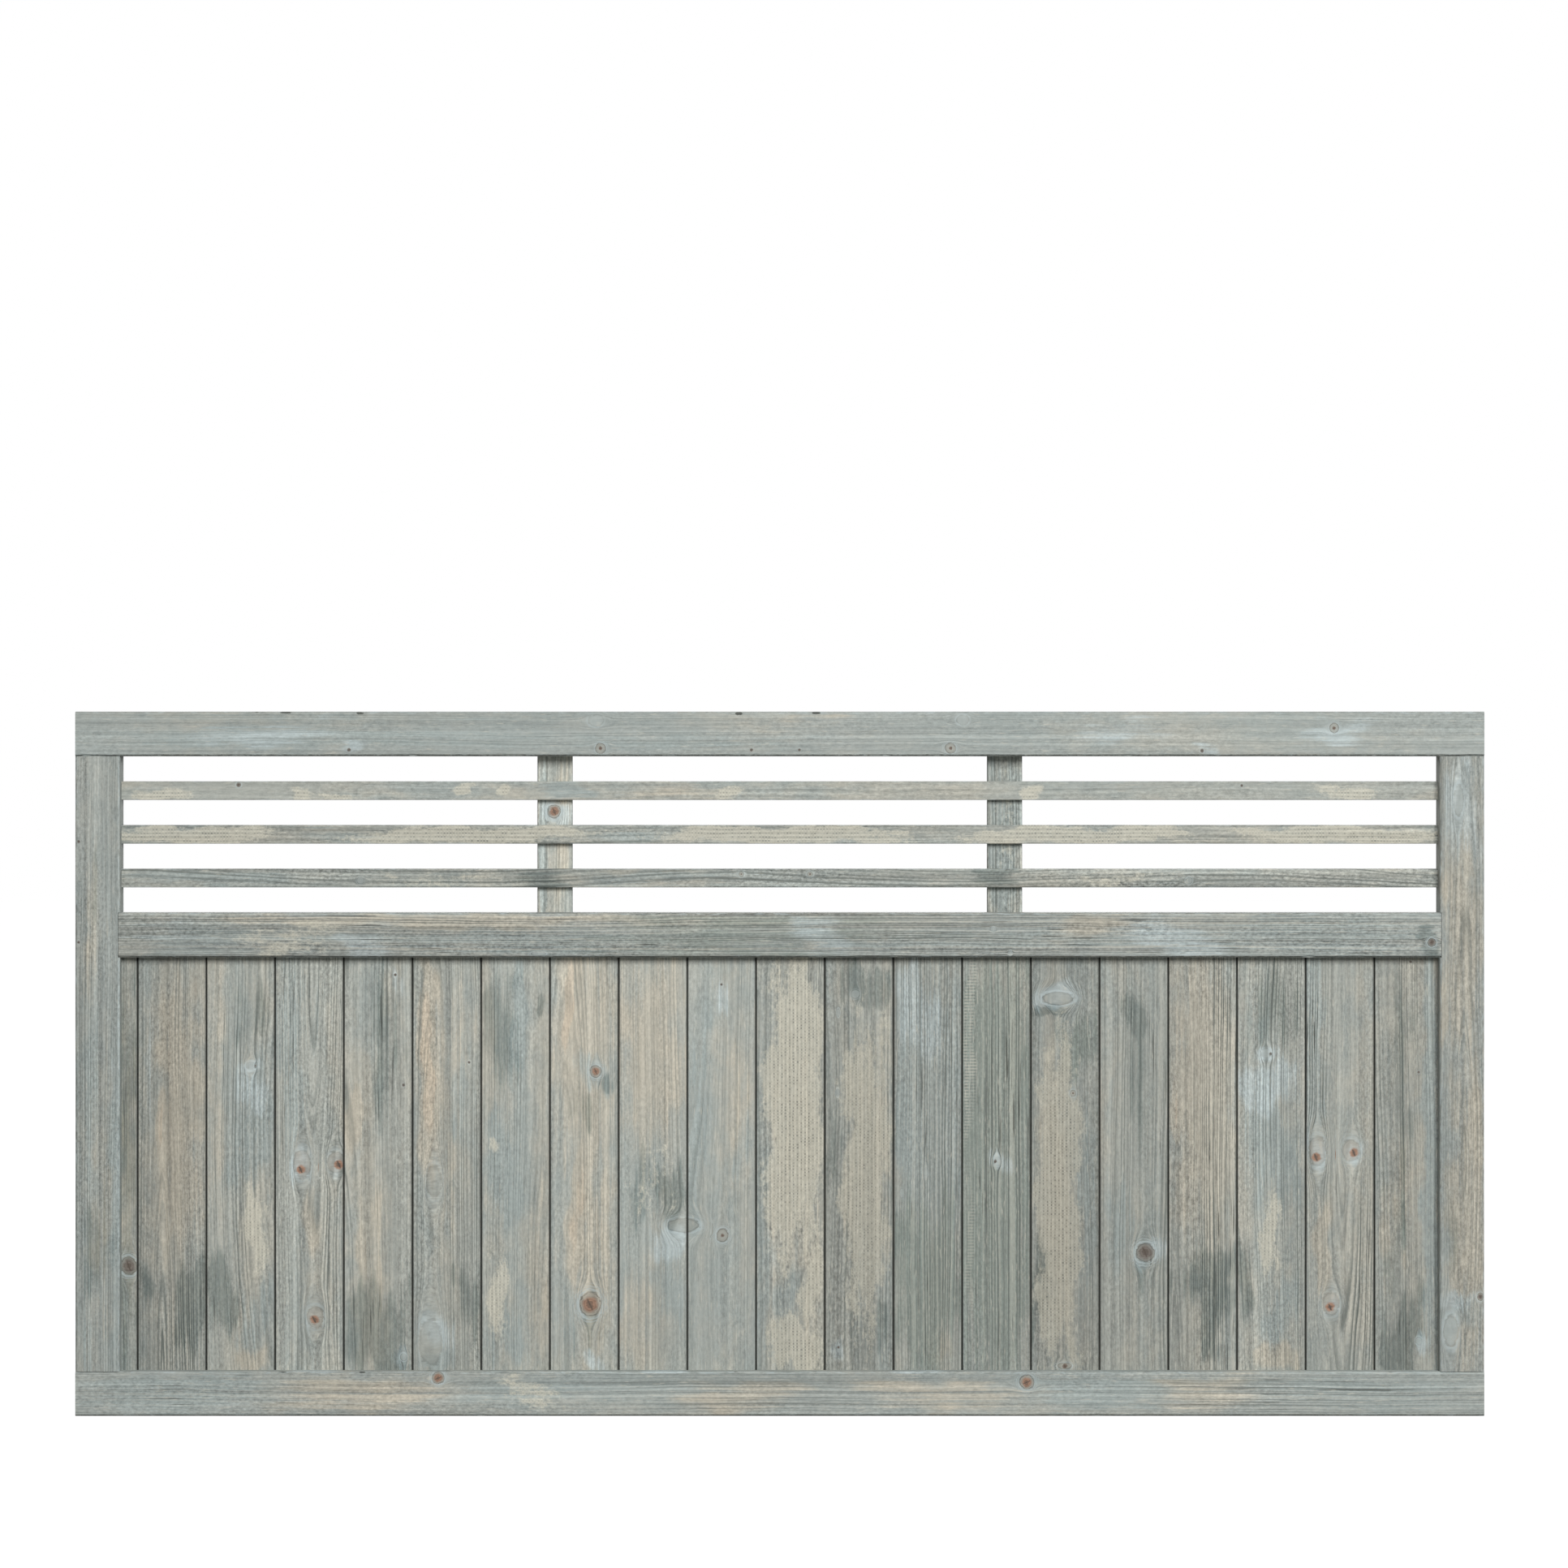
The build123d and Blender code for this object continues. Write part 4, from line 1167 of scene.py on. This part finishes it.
def read_wood(graph):
    """What grow() wrote to the mesh, with the fibres led round the nearest knot."""
    wood = SimpleNamespace()
    for name, fields in (KNOT_FIELDS | WOOD_FIELDS).items():
        for field, value in zip(fields.split(), graph.split(attribute(graph, name))):
            setattr(wood, field, value)
    reach = graph.far(wood.knot_x, graph.times(wood.knot_y, knot_slimness))
    near = graph.times(graph.rise(reach, 1.0, knot_reach, 0.8, 0.0), wood.knot_shown)
    aside = graph.times(wood.knot_x, wood.knot_size, near)
    aside = graph.math("DIVIDE", aside, graph.math("MAXIMUM", graph.times(reach, reach), 1.0))
    aside = graph.join(aside)
    wood.fibre = graph.vector("SUBTRACT", attribute(graph, "fibre"), aside)
    wood.grain = graph.vector("SUBTRACT", attribute(graph, "grain"), aside)
    return wood


def year_rings(graph, wood):
    """Rings of uneven width round the pith: their dark late wood, and a chance value for each."""
    wobble = graph.grain_noise(wood.fibre, 26, 3.2)
    ripple = graph.grain_noise(wood.fibre, 140, 16, 3.7, detail=1)
    across, depth, _ = graph.split(wood.grain)
    radius = graph.swing(ripple, 0.0012, graph.swing(wobble, 0.010, graph.far(across, depth)))
    count = graph.math("DIVIDE", radius, wood.pitch)
    count = graph.raised(count, graph.line_noise(graph.times(count, 0.37)), 3.0)
    share = graph.math("FRACT", count)
    wood.chance = graph.lottery(graph.raised(graph.math("FLOOR", count), wood.lot, 91.7))
    wood.early = graph.band(share, 0.02, 0.14, 0.2, 0.4)
    zone = graph.rise(graph.grain_noise(wood.fibre, 19, 2.4, 11.3), 0.36, 0.62, 0.3, 1.0)
    shown = graph.times(zone, graph.rise(wood.chance, 0.0, 1.0, 0.3, 1.0))
    wood.line = graph.times(graph.band(share, 0.3, 0.8, 0.86, 1.0), shown)


def fibre_noises(graph, wood):
    """Long lines, streaks, a short mottle, dark pores, light flecks, and the ragged edge of patches."""
    wood.flow = graph.grain_noise(wood.fibre, 190, 1.7, 67.0, detail=1)
    wood.rough = graph.rise(graph.grain_noise(wood.fibre, 24, 5, 83.0), 0.4, 0.62, 0.6, 1.25)
    wood.streak = graph.grain_noise(wood.fibre, 300, 6.5, 5.1, detail=3, roughness=0.6)
    wood.fine = graph.grain_noise(wood.fibre, 820, 40, 8.3, roughness=0.6)
    wood.mottle = graph.grain_noise(wood.fibre, 330, 190, 2.9, roughness=0.7)
    wood.blotch = graph.grain_noise(wood.fibre, 75, 26, 37.0, detail=3, roughness=0.6)
    wood.pore = graph.rise(graph.grain_noise(wood.fibre, 760, 70, 17.0, detail=1), 0.61, 0.73)
    wood.fleck = graph.rise(graph.grain_noise(wood.fibre, 620, 56, 23.0, detail=1), 0.63, 0.75)
    wood.check = graph.rise(graph.grain_noise(wood.fibre, 430, 11, 91.0, detail=1), 0.655, 0.71)
    ragged = graph.grain_noise(wood.fibre, 110, 22, 51.0, detail=4, roughness=0.65)
    wood.ragged = graph.math("SUBTRACT", ragged, 0.5)
    wood.sway = graph.math("SUBTRACT", wood.streak, 0.5)


def patch(graph, wood, amount, low=0.14, high=0.7, ragged=0.7, flow=0.5):
    """A patch, its edge and its inside broken up along the rings and the fibres."""
    broken = graph.raised(graph.times(wood.ragged, ragged), wood.sway, 0.8)
    broken = graph.swing(wood.chance, 0.3, graph.swing(wood.flow, flow, broken))
    return graph.rise(graph.raised(amount, broken, graph.rise(amount, 0.0, 0.3)), low, high)


def drifted_glaze(graph, wood, given):
    """The grey glaze, which drifts to warm and to blue, and turns in the patches seen on the piece."""
    spread = graph.join(given["Drift Across"], given["Drift Across"], given["Drift Along"])
    drifting = graph.vector("MULTIPLY", wood.fibre, spread)
    drift = graph.noise(graph.vector("ADD", drifting, (31.0, 31.0, 31.0)))
    drift_blue = graph.noise(graph.vector("ADD", drifting, (43.0, 43.0, 43.0)))
    warmth = graph.rise(graph.swing(wood.blotch, 0.45, drift), 0.42, 0.74, 0.0, given["Drift Warm"])
    warmth = graph.raised(warmth, patch(graph, wood, wood.warm), 0.85, clamp=True)
    coolness = graph.rise(graph.swing(wood.blotch, -0.45, drift_blue), 0.42, 0.74, 0.0, 0.7)
    coolness = graph.times(coolness, graph.rise(wood.warm, 0.1, 0.7, 1.0, 0.25))
    coolness = graph.raised(coolness, patch(graph, wood, wood.blue), 0.9, clamp=True)
    base = graph.mix(warmth, given["Grey"], given["Warm"])
    peach = graph.math("SUBTRACT", wood.warm, 1.0)
    base = graph.over(base, given["Peach"], patch(graph, wood, peach), 0.7)
    base = graph.over(base, given["Blue"], coolness, 0.85)
    base = graph.over(base, given["Green"], patch(graph, wood, wood.green), 0.85)
    return graph.over(base, given["Pale"], patch(graph, wood, wood.pale), 0.72)


def grained(graph, wood, given, base):
    """Rings, streaks, mottle, pores and flecks, as strong as the piece shows them."""
    base = graph.shade(base, graph.times(wood.glaze, graph.rise(wood.chance, 0.0, 1.0, 0.94, 1.06)))
    swing = graph.swing(wood.fine, 0.35, graph.times(wood.sway, given["Streak Strength"]))
    swing = graph.swing(wood.mottle, graph.times(wood.rough, given["Mottle Strength"]), swing)
    swing = graph.swing(wood.flow, given["Flow Strength"], swing)
    swing = graph.swing(wood.blotch, given["Blotch Strength"], swing)
    base = graph.shade(base, graph.raised(1.0, swing, wood.contrast))
    lined = graph.raised(wood.lined, wood.smoke, 0.6)
    strength = graph.times(given["Line Strength"], graph.raised(1.0, lined, 0.9), wood.contrast)
    base = graph.over(base, given["Line"], wood.line, strength)
    bright = graph.times(wood.early, graph.raised(0.06, wood.lined, 0.26))
    base = graph.over(base, given["Cream"], bright, wood.contrast)
    base = graph.over(base, given["Line"], wood.pore, 0.28)
    base = graph.over(base, given["Grime And Shade"], wood.check, graph.rise(lined, 0.1, 0.8, 0.1, 0.75))
    return graph.over(base, given["Cream"], wood.fleck, 0.34)


def smoked(graph, wood, given, base):
    """Dark, blue-grey weathering that follows the fibres."""
    smoky = patch(graph, wood, wood.smoke, 0.2, 0.6, ragged=0.25, flow=1.1)
    shaded = graph.mix(1.0, base, given["Smoke Shade"], "MULTIPLY")
    return graph.over(base, shaded, smoky, graph.rise(wood.fine, 0.35, 0.6, 0.7, 1.0))


def worn_to_canvas(graph, wood, given, base):
    """Glaze worn to cream, with short dark dashes left in rows along the grain, like canvas."""
    across, depth, along = graph.split(wood.fibre)
    across = graph.times(graph.math("ADD", across, depth), canvas_columns)
    across = graph.raised(across, wood.ragged, 0.8)
    column = graph.math("FLOOR", across)
    along = graph.raised(graph.times(along, canvas_rows), graph.lottery(column), 0.4)
    cell = graph.join(column, graph.math("FLOOR", along))
    chance = graph.output("ShaderNodeTexWhiteNoise", {"Vector": cell}, noise_dimensions="3D")
    hump_across, hump_along = graph.hump(across), graph.hump(along)
    dash = graph.times(graph.rise(hump_across, 0.55, 1.0), graph.rise(hump_along, 0.1, 1.0))
    dash = graph.times(dash, graph.rise(chance, 0.0, 0.7, 0.3, 1.0))
    rung = graph.times(graph.rise(hump_along, 0.6, 0.15), graph.rise(chance, 0.3, 0.8, 0.0, 0.45))
    dash = graph.math("MAXIMUM", dash, rung)
    dash = graph.math("MAXIMUM", dash, graph.rise(hump_across, 0.5, 1.0, 0.0, 0.35))
    dash = graph.times(dash, graph.rise(wood.mottle, 0.35, 0.55, 0.45, 1.0))
    dash = graph.times(dash, graph.rise(wood.canvas, 0.3, 0.95, 0.4, 1.0))
    spread = graph.swing(wood.mottle, 0.5, graph.raised(wood.canvas, wood.ragged, 1.2))
    spread = graph.swing(chance, 0.16, spread)
    woven = graph.times(graph.rise(spread, 0.22, 0.6), graph.rise(wood.canvas, 0.0, 0.2))
    worn = graph.swing(graph.lottery(column), 0.07, wood.glaze)
    thread = graph.shade(given["Canvas Thread"], graph.swing(wood.mottle, 0.5, worn))
    thread = graph.mix(0.25, thread, base)
    gap = graph.mix(0.3, graph.shade(given["Canvas Gap"], wood.glaze), base)
    wood.raised = graph.times(graph.math("SUBTRACT", 1.0, dash), woven)
    return graph.over(base, graph.mix(dash, thread, gap), woven, 0.92)


def planed(graph, wood, given, base):
    """Short pale ticks that the planer's knives left across the grain."""
    tick = graph.hump(graph.times(graph.split(wood.fibre)["Z"], planer_cuts))
    tick = graph.times(graph.rise(tick, 0.45, 0.95), graph.rise(wood.ragged, -0.12, 0.05, 0.3, 1.0))
    return graph.over(base, given["Cream"], tick, graph.rise(wood.planer, 0.25, 0.7, 0.0, 0.38))


def knotted(graph, wood, given, base):
    """Knots: a broken pale ring, faint inner rings, ripples around, and a dark rim."""
    shown = wood.knot_shown
    radius = graph.raised(graph.far(wood.knot_x, wood.knot_y), wood.ragged, 0.7)
    radius = graph.swing(wood.mottle, 0.55, radius)
    inside = graph.times(graph.fall(radius, 0.86, 1.02), shown)
    scar = graph.times(inside, graph.rise(wood.rings, 0.0, 0.6, 0.6, 0.0))
    broken = graph.rise(wood.ragged, -0.1, 0.08, 0.2, 1.0)
    ring = graph.times(graph.band(radius, 1.04, 1.16, 1.22, 1.55), broken, shown)
    ring = graph.math("MAXIMUM", ring, scar)
    filling = graph.mix(wood.red, given["Knot Grey"], given["Knot Warm"])
    inner = graph.times(graph.sine(radius, 15.0), wood.rings)
    filling = graph.shade(filling, graph.raised(1.0, inner, 0.10))
    filling = graph.shade(filling, graph.swing(wood.fine, 0.5, 1.0))
    base = graph.over(base, filling, inside, graph.rise(wood.rings, 0.3, 0.8, 0.32, 0.6))
    base = graph.over(base, given["Pale"], ring, wood.halo, 0.65)
    ripples = graph.rise(graph.sine(radius, 21.0), 0.0, 0.8)
    around = graph.times(graph.band(radius, 1.15, 1.3, 1.5, 2.1), ripples)
    base = graph.over(base, given["Pale"], around, graph.times(wood.rings, shown), 0.42)
    rim = graph.times(graph.band(radius, 0.84, 0.97, 0.99, 1.12), graph.rise(wood.mottle, 0.35, 0.55, 0.4, 1.0))
    return graph.over(base, given["Knot Rim"], rim, shown, graph.rise(wood.rings, 0.0, 1.0, 0.05, 0.75))


def hearted(graph, wood, given, base):
    """The knots' red-brown hearts, with their rings, bark and crack."""
    heart_x = graph.math("SUBTRACT", wood.knot_x, wood.heart_x)
    heart_y = graph.math("SUBTRACT", graph.times(wood.knot_y, wood.stretch), wood.heart_y)
    off_heart = graph.raised(graph.far(heart_x, heart_y), wood.ragged, 0.5)
    off_heart = graph.swing(wood.mottle, 0.5, off_heart)
    off_heart = graph.math("DIVIDE", off_heart, graph.math("MAXIMUM", wood.spot, 0.01))
    tone = graph.mix(wood.red, given["Heart Grey"], given["Heart Red"])
    rings = graph.times(graph.sine(off_heart, 17.0), wood.rings)
    tone = graph.shade(tone, graph.raised(1.0, rings, 0.2))
    tone = graph.shade(tone, graph.swing(wood.mottle, 1.1, 1.0))
    tone = graph.over(tone, given["Heart Dark"], graph.fall(off_heart, 0.0, 0.75), wood.dark)
    bark = graph.times(wood.rings, 0.45)
    tone = graph.over(tone, given["Heart Dark"], graph.rise(off_heart, 0.7, 0.9), bark)
    crack = graph.raised(graph.swing(wood.fine, 0.4, heart_x), heart_y, 0.45)
    crack = graph.fall(graph.math("ABSOLUTE", crack), 0.03, 0.16)
    crack = graph.times(crack, graph.fall(off_heart, 0.5, 1.0), graph.math("MAXIMUM", wood.red, wood.dark))
    tone = graph.mix(crack, tone, given["Heart Dark"])
    heart = graph.times(graph.rise(off_heart, 0.6, 1.15, 0.9, 0.0), wood.knot_shown)
    return graph.over(base, tone, heart, graph.rise(wood.spot, 0.0, 0.1))


def worn_and_shaded(graph, wood, given, base):
    """Arrises rubbed pale or chipped dark, painted shade and dirt on the boards' front arrises and down in the
    joints, and dark chips with painted shade on the rails' lower arrises.
    """
    rubbed = graph.rise(graph.grain_noise(wood.fibre, 420, 70, 61.0), 0.5, 0.66)
    chipped = graph.rise(graph.grain_noise(wood.fibre, 260, 46, 71.0), 0.6, 0.72)
    base = graph.over(base, given["Pale"], wood.edge, rubbed, given["Rubbed Share"])
    base = graph.over(base, given["Line"], wood.edge, chipped, 0.5)
    # Painted shade and dirt on the boards' front arrises, which darkens the joint lines
    base = graph.over(base, given["Grime And Shade"], wood.edge, given["Edge Grime And Shade"])
    # Dark chips, and painted shade on the lower front arris of each rail
    dark_marks_and_under_shade = graph.rise(graph.swing(wood.mottle, 0.6, wood.chip), 0.3, 0.6, 0.0, 0.85)
    base = graph.over(base, given["Grime And Shade"], dark_marks_and_under_shade)
    # Painted shade and dirt down in the joints
    return graph.over(base, given["Grime And Shade"], wood.recess, 0.85)


FINISH_TONES = {
    "Grey": (169, 172, 165),
    "Warm": (186, 180, 165),
    "Peach": (199, 184, 163),
    "Blue": (157, 167, 165),
    "Pale": (186, 198, 199),
    "Green": (138, 148, 141),
    "Smoke Shade": (201, 208, 209),
    "Line": (104, 109, 104),
    "Cream": (213, 209, 194),
    "Canvas Thread": (214, 210, 193),
    "Canvas Gap": (112, 112, 104),
    "Knot Grey": (156, 158, 150),
    "Knot Warm": (170, 160, 146),
    "Knot Rim": (96, 94, 88),
    "Heart Grey": (110, 104, 98),
    "Heart Red": (166, 126, 102),
    "Heart Dark": (78, 64, 56),
    # Dark for grime in checks, and for painted shade in the joints, on the boards' front arrises and under the
    # rails
    "Grime And Shade": (64, 66, 61),
}
FINISH_STRENGTHS = {
    "Line Strength": 0.6,
    "Streak Strength": 0.32,
    "Flow Strength": 0.75,
    "Mottle Strength": 1.1,
    "Blotch Strength": 0.35,
    "Drift Across": 22.0,
    "Drift Warm": 0.55,
    "Drift Along": 2.4,
    "Rubbed Share": 0.55,
    # Painted shade and dirt on the boards' front arrises
    "Edge Grime And Shade": 0.0,
}


def weathered_timber_group():
    """The grey finish that all the timbers share. It gives the colour, the roughness and the relief."""
    tree = bpy.data.node_groups.new("weathered timber", "ShaderNodeTree")
    group_inputs(tree, {name: colour(*tone) for name, tone in FINISH_TONES.items()} | FINISH_STRENGTHS)
    for name, kind in (("Color", "Color"), ("Roughness", "Float"), ("Height", "Float")):
        tree.interface.new_socket(name=name, in_out="OUTPUT", socket_type=f"NodeSocket{kind}")
    graph = Graph(tree)
    given = graph.add("NodeGroupInput").outputs
    wood = read_wood(graph)
    year_rings(graph, wood)
    fibre_noises(graph, wood)
    base = drifted_glaze(graph, wood, given)
    for layer in (grained, smoked, worn_to_canvas, planed, knotted, hearted, worn_and_shaded):
        base = layer(graph, wood, given, base)
    roughness = graph.rise(wood.streak, 0.2, 0.8, 0.74, 0.9)
    height = graph.raised(graph.times(wood.fine, 0.5), wood.line, 0.6)
    height = graph.raised(height, wood.raised, 0.35)
    graph.add("NodeGroupOutput", {"Color": base, "Roughness": roughness, "Height": height})
    return tree


def surfaced(graph, relief, inputs):
    """Puts out a shader with these inputs, and a relief of strength, distance and height."""
    bump = graph.output("ShaderNodeBump", dict(zip(("Strength", "Distance", "Height"), relief)))
    shader = graph.output("ShaderNodeBsdfPrincipled", inputs | {"Normal": bump})
    graph.add("ShaderNodeOutputMaterial", {"Surface": shader})


def timber_material(name, group, values):
    """The shared finish on one stock, with that stock's own strengths."""
    material = bpy.data.materials.new(name)
    graph = cleared(material)
    finish = graph.add("ShaderNodeGroup", node_tree=group)
    for key, value in values.items():
        finish.inputs[key].default_value = value
    given = finish.outputs
    inputs = {"Base Color": given["Color"], "Roughness": given["Roughness"], "Specular IOR Level": 0.25}
    surfaced(graph, (0.55, 0.0005, given["Height"]), inputs)
    return material


def zinc_steel():
    """Zinc-plated steel, faintly spangled and dulled."""
    material = bpy.data.materials.new("zinc-plated steel")
    graph = cleared(material)
    place = graph.add("ShaderNodeTexCoord").outputs["Object"]
    spangle = graph.noise(graph.vector("SCALE", place, scale=900.0), detail=3.0)
    stain = graph.noise(graph.vector("SCALE", place, scale=260.0))
    tone = graph.mix(graph.rise(spangle, 0.35, 0.65), colour(138, 141, 142), colour(166, 168, 168))
    tone = graph.mix(graph.rise(stain, 0.5, 0.7, 0.0, 0.6), tone, colour(118, 106, 90))
    inputs = {"Base Color": tone, "Metallic": 1.0, "Roughness": graph.rise(stain, 0.3, 0.7, 0.45, 0.65)}
    surfaced(graph, (0.3, 0.0002, spangle), inputs)
    return material


# Pieces


def board_edges(number):
    """Left and right edge of a board's face, without its tongue."""
    low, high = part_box(f"board_{number:02d}")
    return (low.x if number == 1 else low.x + tongue_length), high.x


def sawn_timber(node, slot, upright, arris, cuts, outline=None):
    """A timber that fills its packed box. Its section is rounded unless another outline is given."""
    low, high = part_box(node)
    near, far = (low.x, high.x) if upright else (-high.z, -low.z)
    foot, head = (low.z, high.z) if upright else (low.x, high.x)
    if outline is None:
        middle = ((near + far) / 2, (low.y + high.y) / 2)
        outline = rounded_outline(far - near, high.y - low.y, arris, middle)
    return Timber(node, slot, upright, outline, foot, head, arris, cuts, timber_growth(node))


def board(number):
    left, right = board_edges(number)
    outline = board_outline(left, right, number > 1, number < board_count)
    return sawn_timber(f"board_{number:02d}", "board_timber", True, board_arris, [], outline)


def all_timbers():
    frame_pieces = (
        ("top_rail", False, top_rail_cuts()),
        ("middle_rail", False, middle_rail_cuts()),
        ("bottom_rail", False, bottom_rail_cuts()),
        ("left_stile", True, stile_cuts(-1)),
        ("right_stile", True, stile_cuts(1)),
    )
    timbers = [sawn_timber(node, "frame_timber", up, frame_arris, cuts) for node, up, cuts in frame_pieces]
    timbers += [board(number + 1) for number in range(board_count)]
    for number in range(1, slat_count + 1):
        timbers.append(sawn_timber(f"slat_{number}", "trellis_timber", False, slat_arris, []))
    for number in range(1, batten_count + 1):
        cuts = batten_cuts(number)
        timbers.append(sawn_timber(f"batten_{number}", "trellis_timber", True, batten_arris, cuts))
    return timbers


def settle(piece, node):
    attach(piece, "root")
    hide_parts(node)


def make_timber(tree, timber, material):
    """Sweeps the bar, cuts its joints, writes its grain, and puts it in its node's place."""
    holder = new_object("holder", outline_mesh("outline", timber.outline))
    values = {"Foot": timber.foot, "Head": timber.head, "Seed": piece_seed(timber.node) * 0.01}
    values |= {"Turn": (0.0, 0.0 if timber.upright else math.pi / 2, 0.0), "Material": material}
    values |= {"Wear": timber.arris * arris_wear, "Chips": timber.arris * arris_chips}
    run_tree(holder, tree, values)
    cutters = [cutter_object(f"cutter_{number}", shapes) for number, shapes in enumerate(timber.cutters)]
    for cutter in cutters:
        cut = holder.modifiers.new("cut", "BOOLEAN")
        cut.operation = "DIFFERENCE"
        cut.solver = "MANIFOLD"
        cut.object = cutter
    piece = bake(holder, f"weathered_{timber.node}")
    for cutter in cutters:
        bpy.data.objects.remove(cutter)
    mesh = piece.data
    while len(mesh.materials) > 1:
        mesh.materials.pop()
    mesh.polygons.foreach_set("material_index", np.zeros(len(mesh.polygons), np.int32))
    mesh.attributes.remove(mesh.attributes["inward"])
    smooth(mesh)
    grow(piece, timber)
    settle(piece, timber.node)


def point_mesh(name, places, directions):
    mesh = bpy.data.meshes.new(name)
    mesh.from_pydata([tuple(place) for place in places], [], [])
    out = mesh.attributes.new("out", "FLOAT_VECTOR", "POINT")
    out.data.foreach_set("vector", [float(c) for direction in directions for c in direction])
    return mesh


def make_fasteners(tree, name, node, stands, material, **values):
    """Fasteners of one kind, which stand at these places and point these ways out of the wood."""
    places, directions = zip(*stands)
    holder = new_object("holder", point_mesh("points", places, directions))
    run_tree(holder, tree, {"Material": material, **values})
    piece = bake(holder, name)
    smooth(piece.data)
    settle(piece, node)


def make_all_fasteners():
    steel = zinc_steel()
    screws = screw_tree()
    ends = ((cad_high.z - head_sink, 1), (cad_low.z + head_sink, -1))
    corners = [((x, 0.0, height), (0, 0, up)) for height, up in ends for x in corner_screw_columns()]
    values = {"Length": corner_screw_length, "Seed": piece_seed("corner_screws")}
    make_fasteners(screws, "frame_corner_screws", "corner_screws", corners, steel, **values)
    reach, depth = cad_high.x - head_sink, (board_face + board_back) / 2
    sides = [((side * reach, depth, middle_screw_height()), (side, 0, 0)) for side in (-1, 1)]
    values = {"Length": middle_screw_length, "Seed": piece_seed("middle_rail_screws")}
    make_fasteners(screws, "middle_rail_long_screws", "middle_rail_screws", sides, steel, **values)
    backs = [((x, frame_back - head_sink, z), (0, 1, 0)) for x, z in staple_places()]
    make_fasteners(staple_tree(), "wire_staples", "staples", backs, steel)


def make_panel():
    group = weathered_timber_group()
    frame_values = {"Drift Across": 12.0, "Drift Along": 3.2, "Drift Warm": 0.35, "Flow Strength": 1.0}
    frame_values |= {"Streak Strength": 0.25, "Grey": colour(165, 171, 167)}
    stocks = {
        "frame": frame_values,
        # The boards' front arrises get painted shade and dirt
        "board": {"Line Strength": 0.7, "Rubbed Share": 0.2, "Edge Grime And Shade": 0.75},
        "trellis": {"Line Strength": 0.5, "Drift Across": 20.0, "Drift Along": 5.0},
    }
    finishes = {
        f"{stock}_timber": timber_material(f"weathered {stock} timber", group, values)
        for stock, values in stocks.items()
    }
    tree = timber_tree()
    for timber in all_timbers():
        make_timber(tree, timber, finishes[timber.slot])
    make_all_fasteners()


# Floor and light


def seen_rays(graph):
    """1 for the rays that show a surface to the camera, straight, mirrored or through glass."""
    path = graph.add("ShaderNodeLightPath").outputs
    bent = graph.math("MAXIMUM", path["Is Glossy Ray"], path["Is Transmission Ray"])
    return graph.math("MAXIMUM", path["Is Camera Ray"], bent)


def pale_floor():
    half, height = floor_half, cad_low.z - floor_gap
    mesh = bpy.data.meshes.new("floor")
    corners = [(x, y, height) for x, y in ((-half, -half), (half, -half), (half, half), (-half, half))]
    mesh.from_pydata(corners, [], [(0, 1, 2, 3)])
    floor = new_object("pale_floor", mesh)
    material = bpy.data.materials.new("pale floor")
    graph = cleared(material)
    matt = graph.output("ShaderNodeBsdfDiffuse", {"Color": colour(150, 150, 148)})
    faint = graph.output("ShaderNodeBsdfDiffuse", {"Color": colour(140, 140, 140)})
    glow = graph.output("ShaderNodeEmission", {"Color": white, "Strength": 0.95})
    shown = graph.output("ShaderNodeAddShader", {0: faint, 1: glow})
    mixed = graph.output("ShaderNodeMixShader", {0: seen_rays(graph), 1: matt, 2: shown})
    graph.add("ShaderNodeOutputMaterial", {"Surface": mixed})
    mesh.materials.append(material)


def studio_light():
    world = bpy.data.worlds.new("studio")
    bpy.context.scene.world = world
    graph = cleared(world)
    dome = graph.output("ShaderNodeBackground", {"Color": white, "Strength": dome_strength})
    backdrop = graph.output("ShaderNodeBackground", {"Color": white, "Strength": 1.0})
    mixed = graph.output("ShaderNodeMixShader", {0: seen_rays(graph), 1: dome, 2: backdrop})
    graph.add("ShaderNodeOutputWorld", {"Surface": mixed})
    soft_box("front_soft_box", front_box_place, front_box_power)
    soft_box("back_soft_box", back_box_place, back_box_power)


def soft_box(name, place, power):
    """A large lamp aimed at the middle of the panel."""
    lamp = bpy.data.lights.new(name, "AREA")
    lamp.shape = "RECTANGLE"
    lamp.size = box_width
    lamp.size_y = box_height
    lamp.energy = power
    box = new_object(name, lamp)
    box.location = place
    box.rotation_mode = "QUATERNION"
    box.rotation_quaternion = (box_target - box.location).to_track_quat("-Z", "Y")


def photo_camera():
    data = bpy.data.cameras.new("camera")
    data.sensor_width = sensor_width
    data.sensor_fit = "HORIZONTAL"
    data.lens = lens_length
    camera = new_object("camera", data)
    camera.location = eye
    camera.rotation_euler = (math.pi / 2, 0.0, 0.0)
    bpy.context.scene.camera = camera


photo_camera()
studio_light()
pale_floor()
make_panel()
bpy.context.scene.view_settings.view_transform = "Standard"
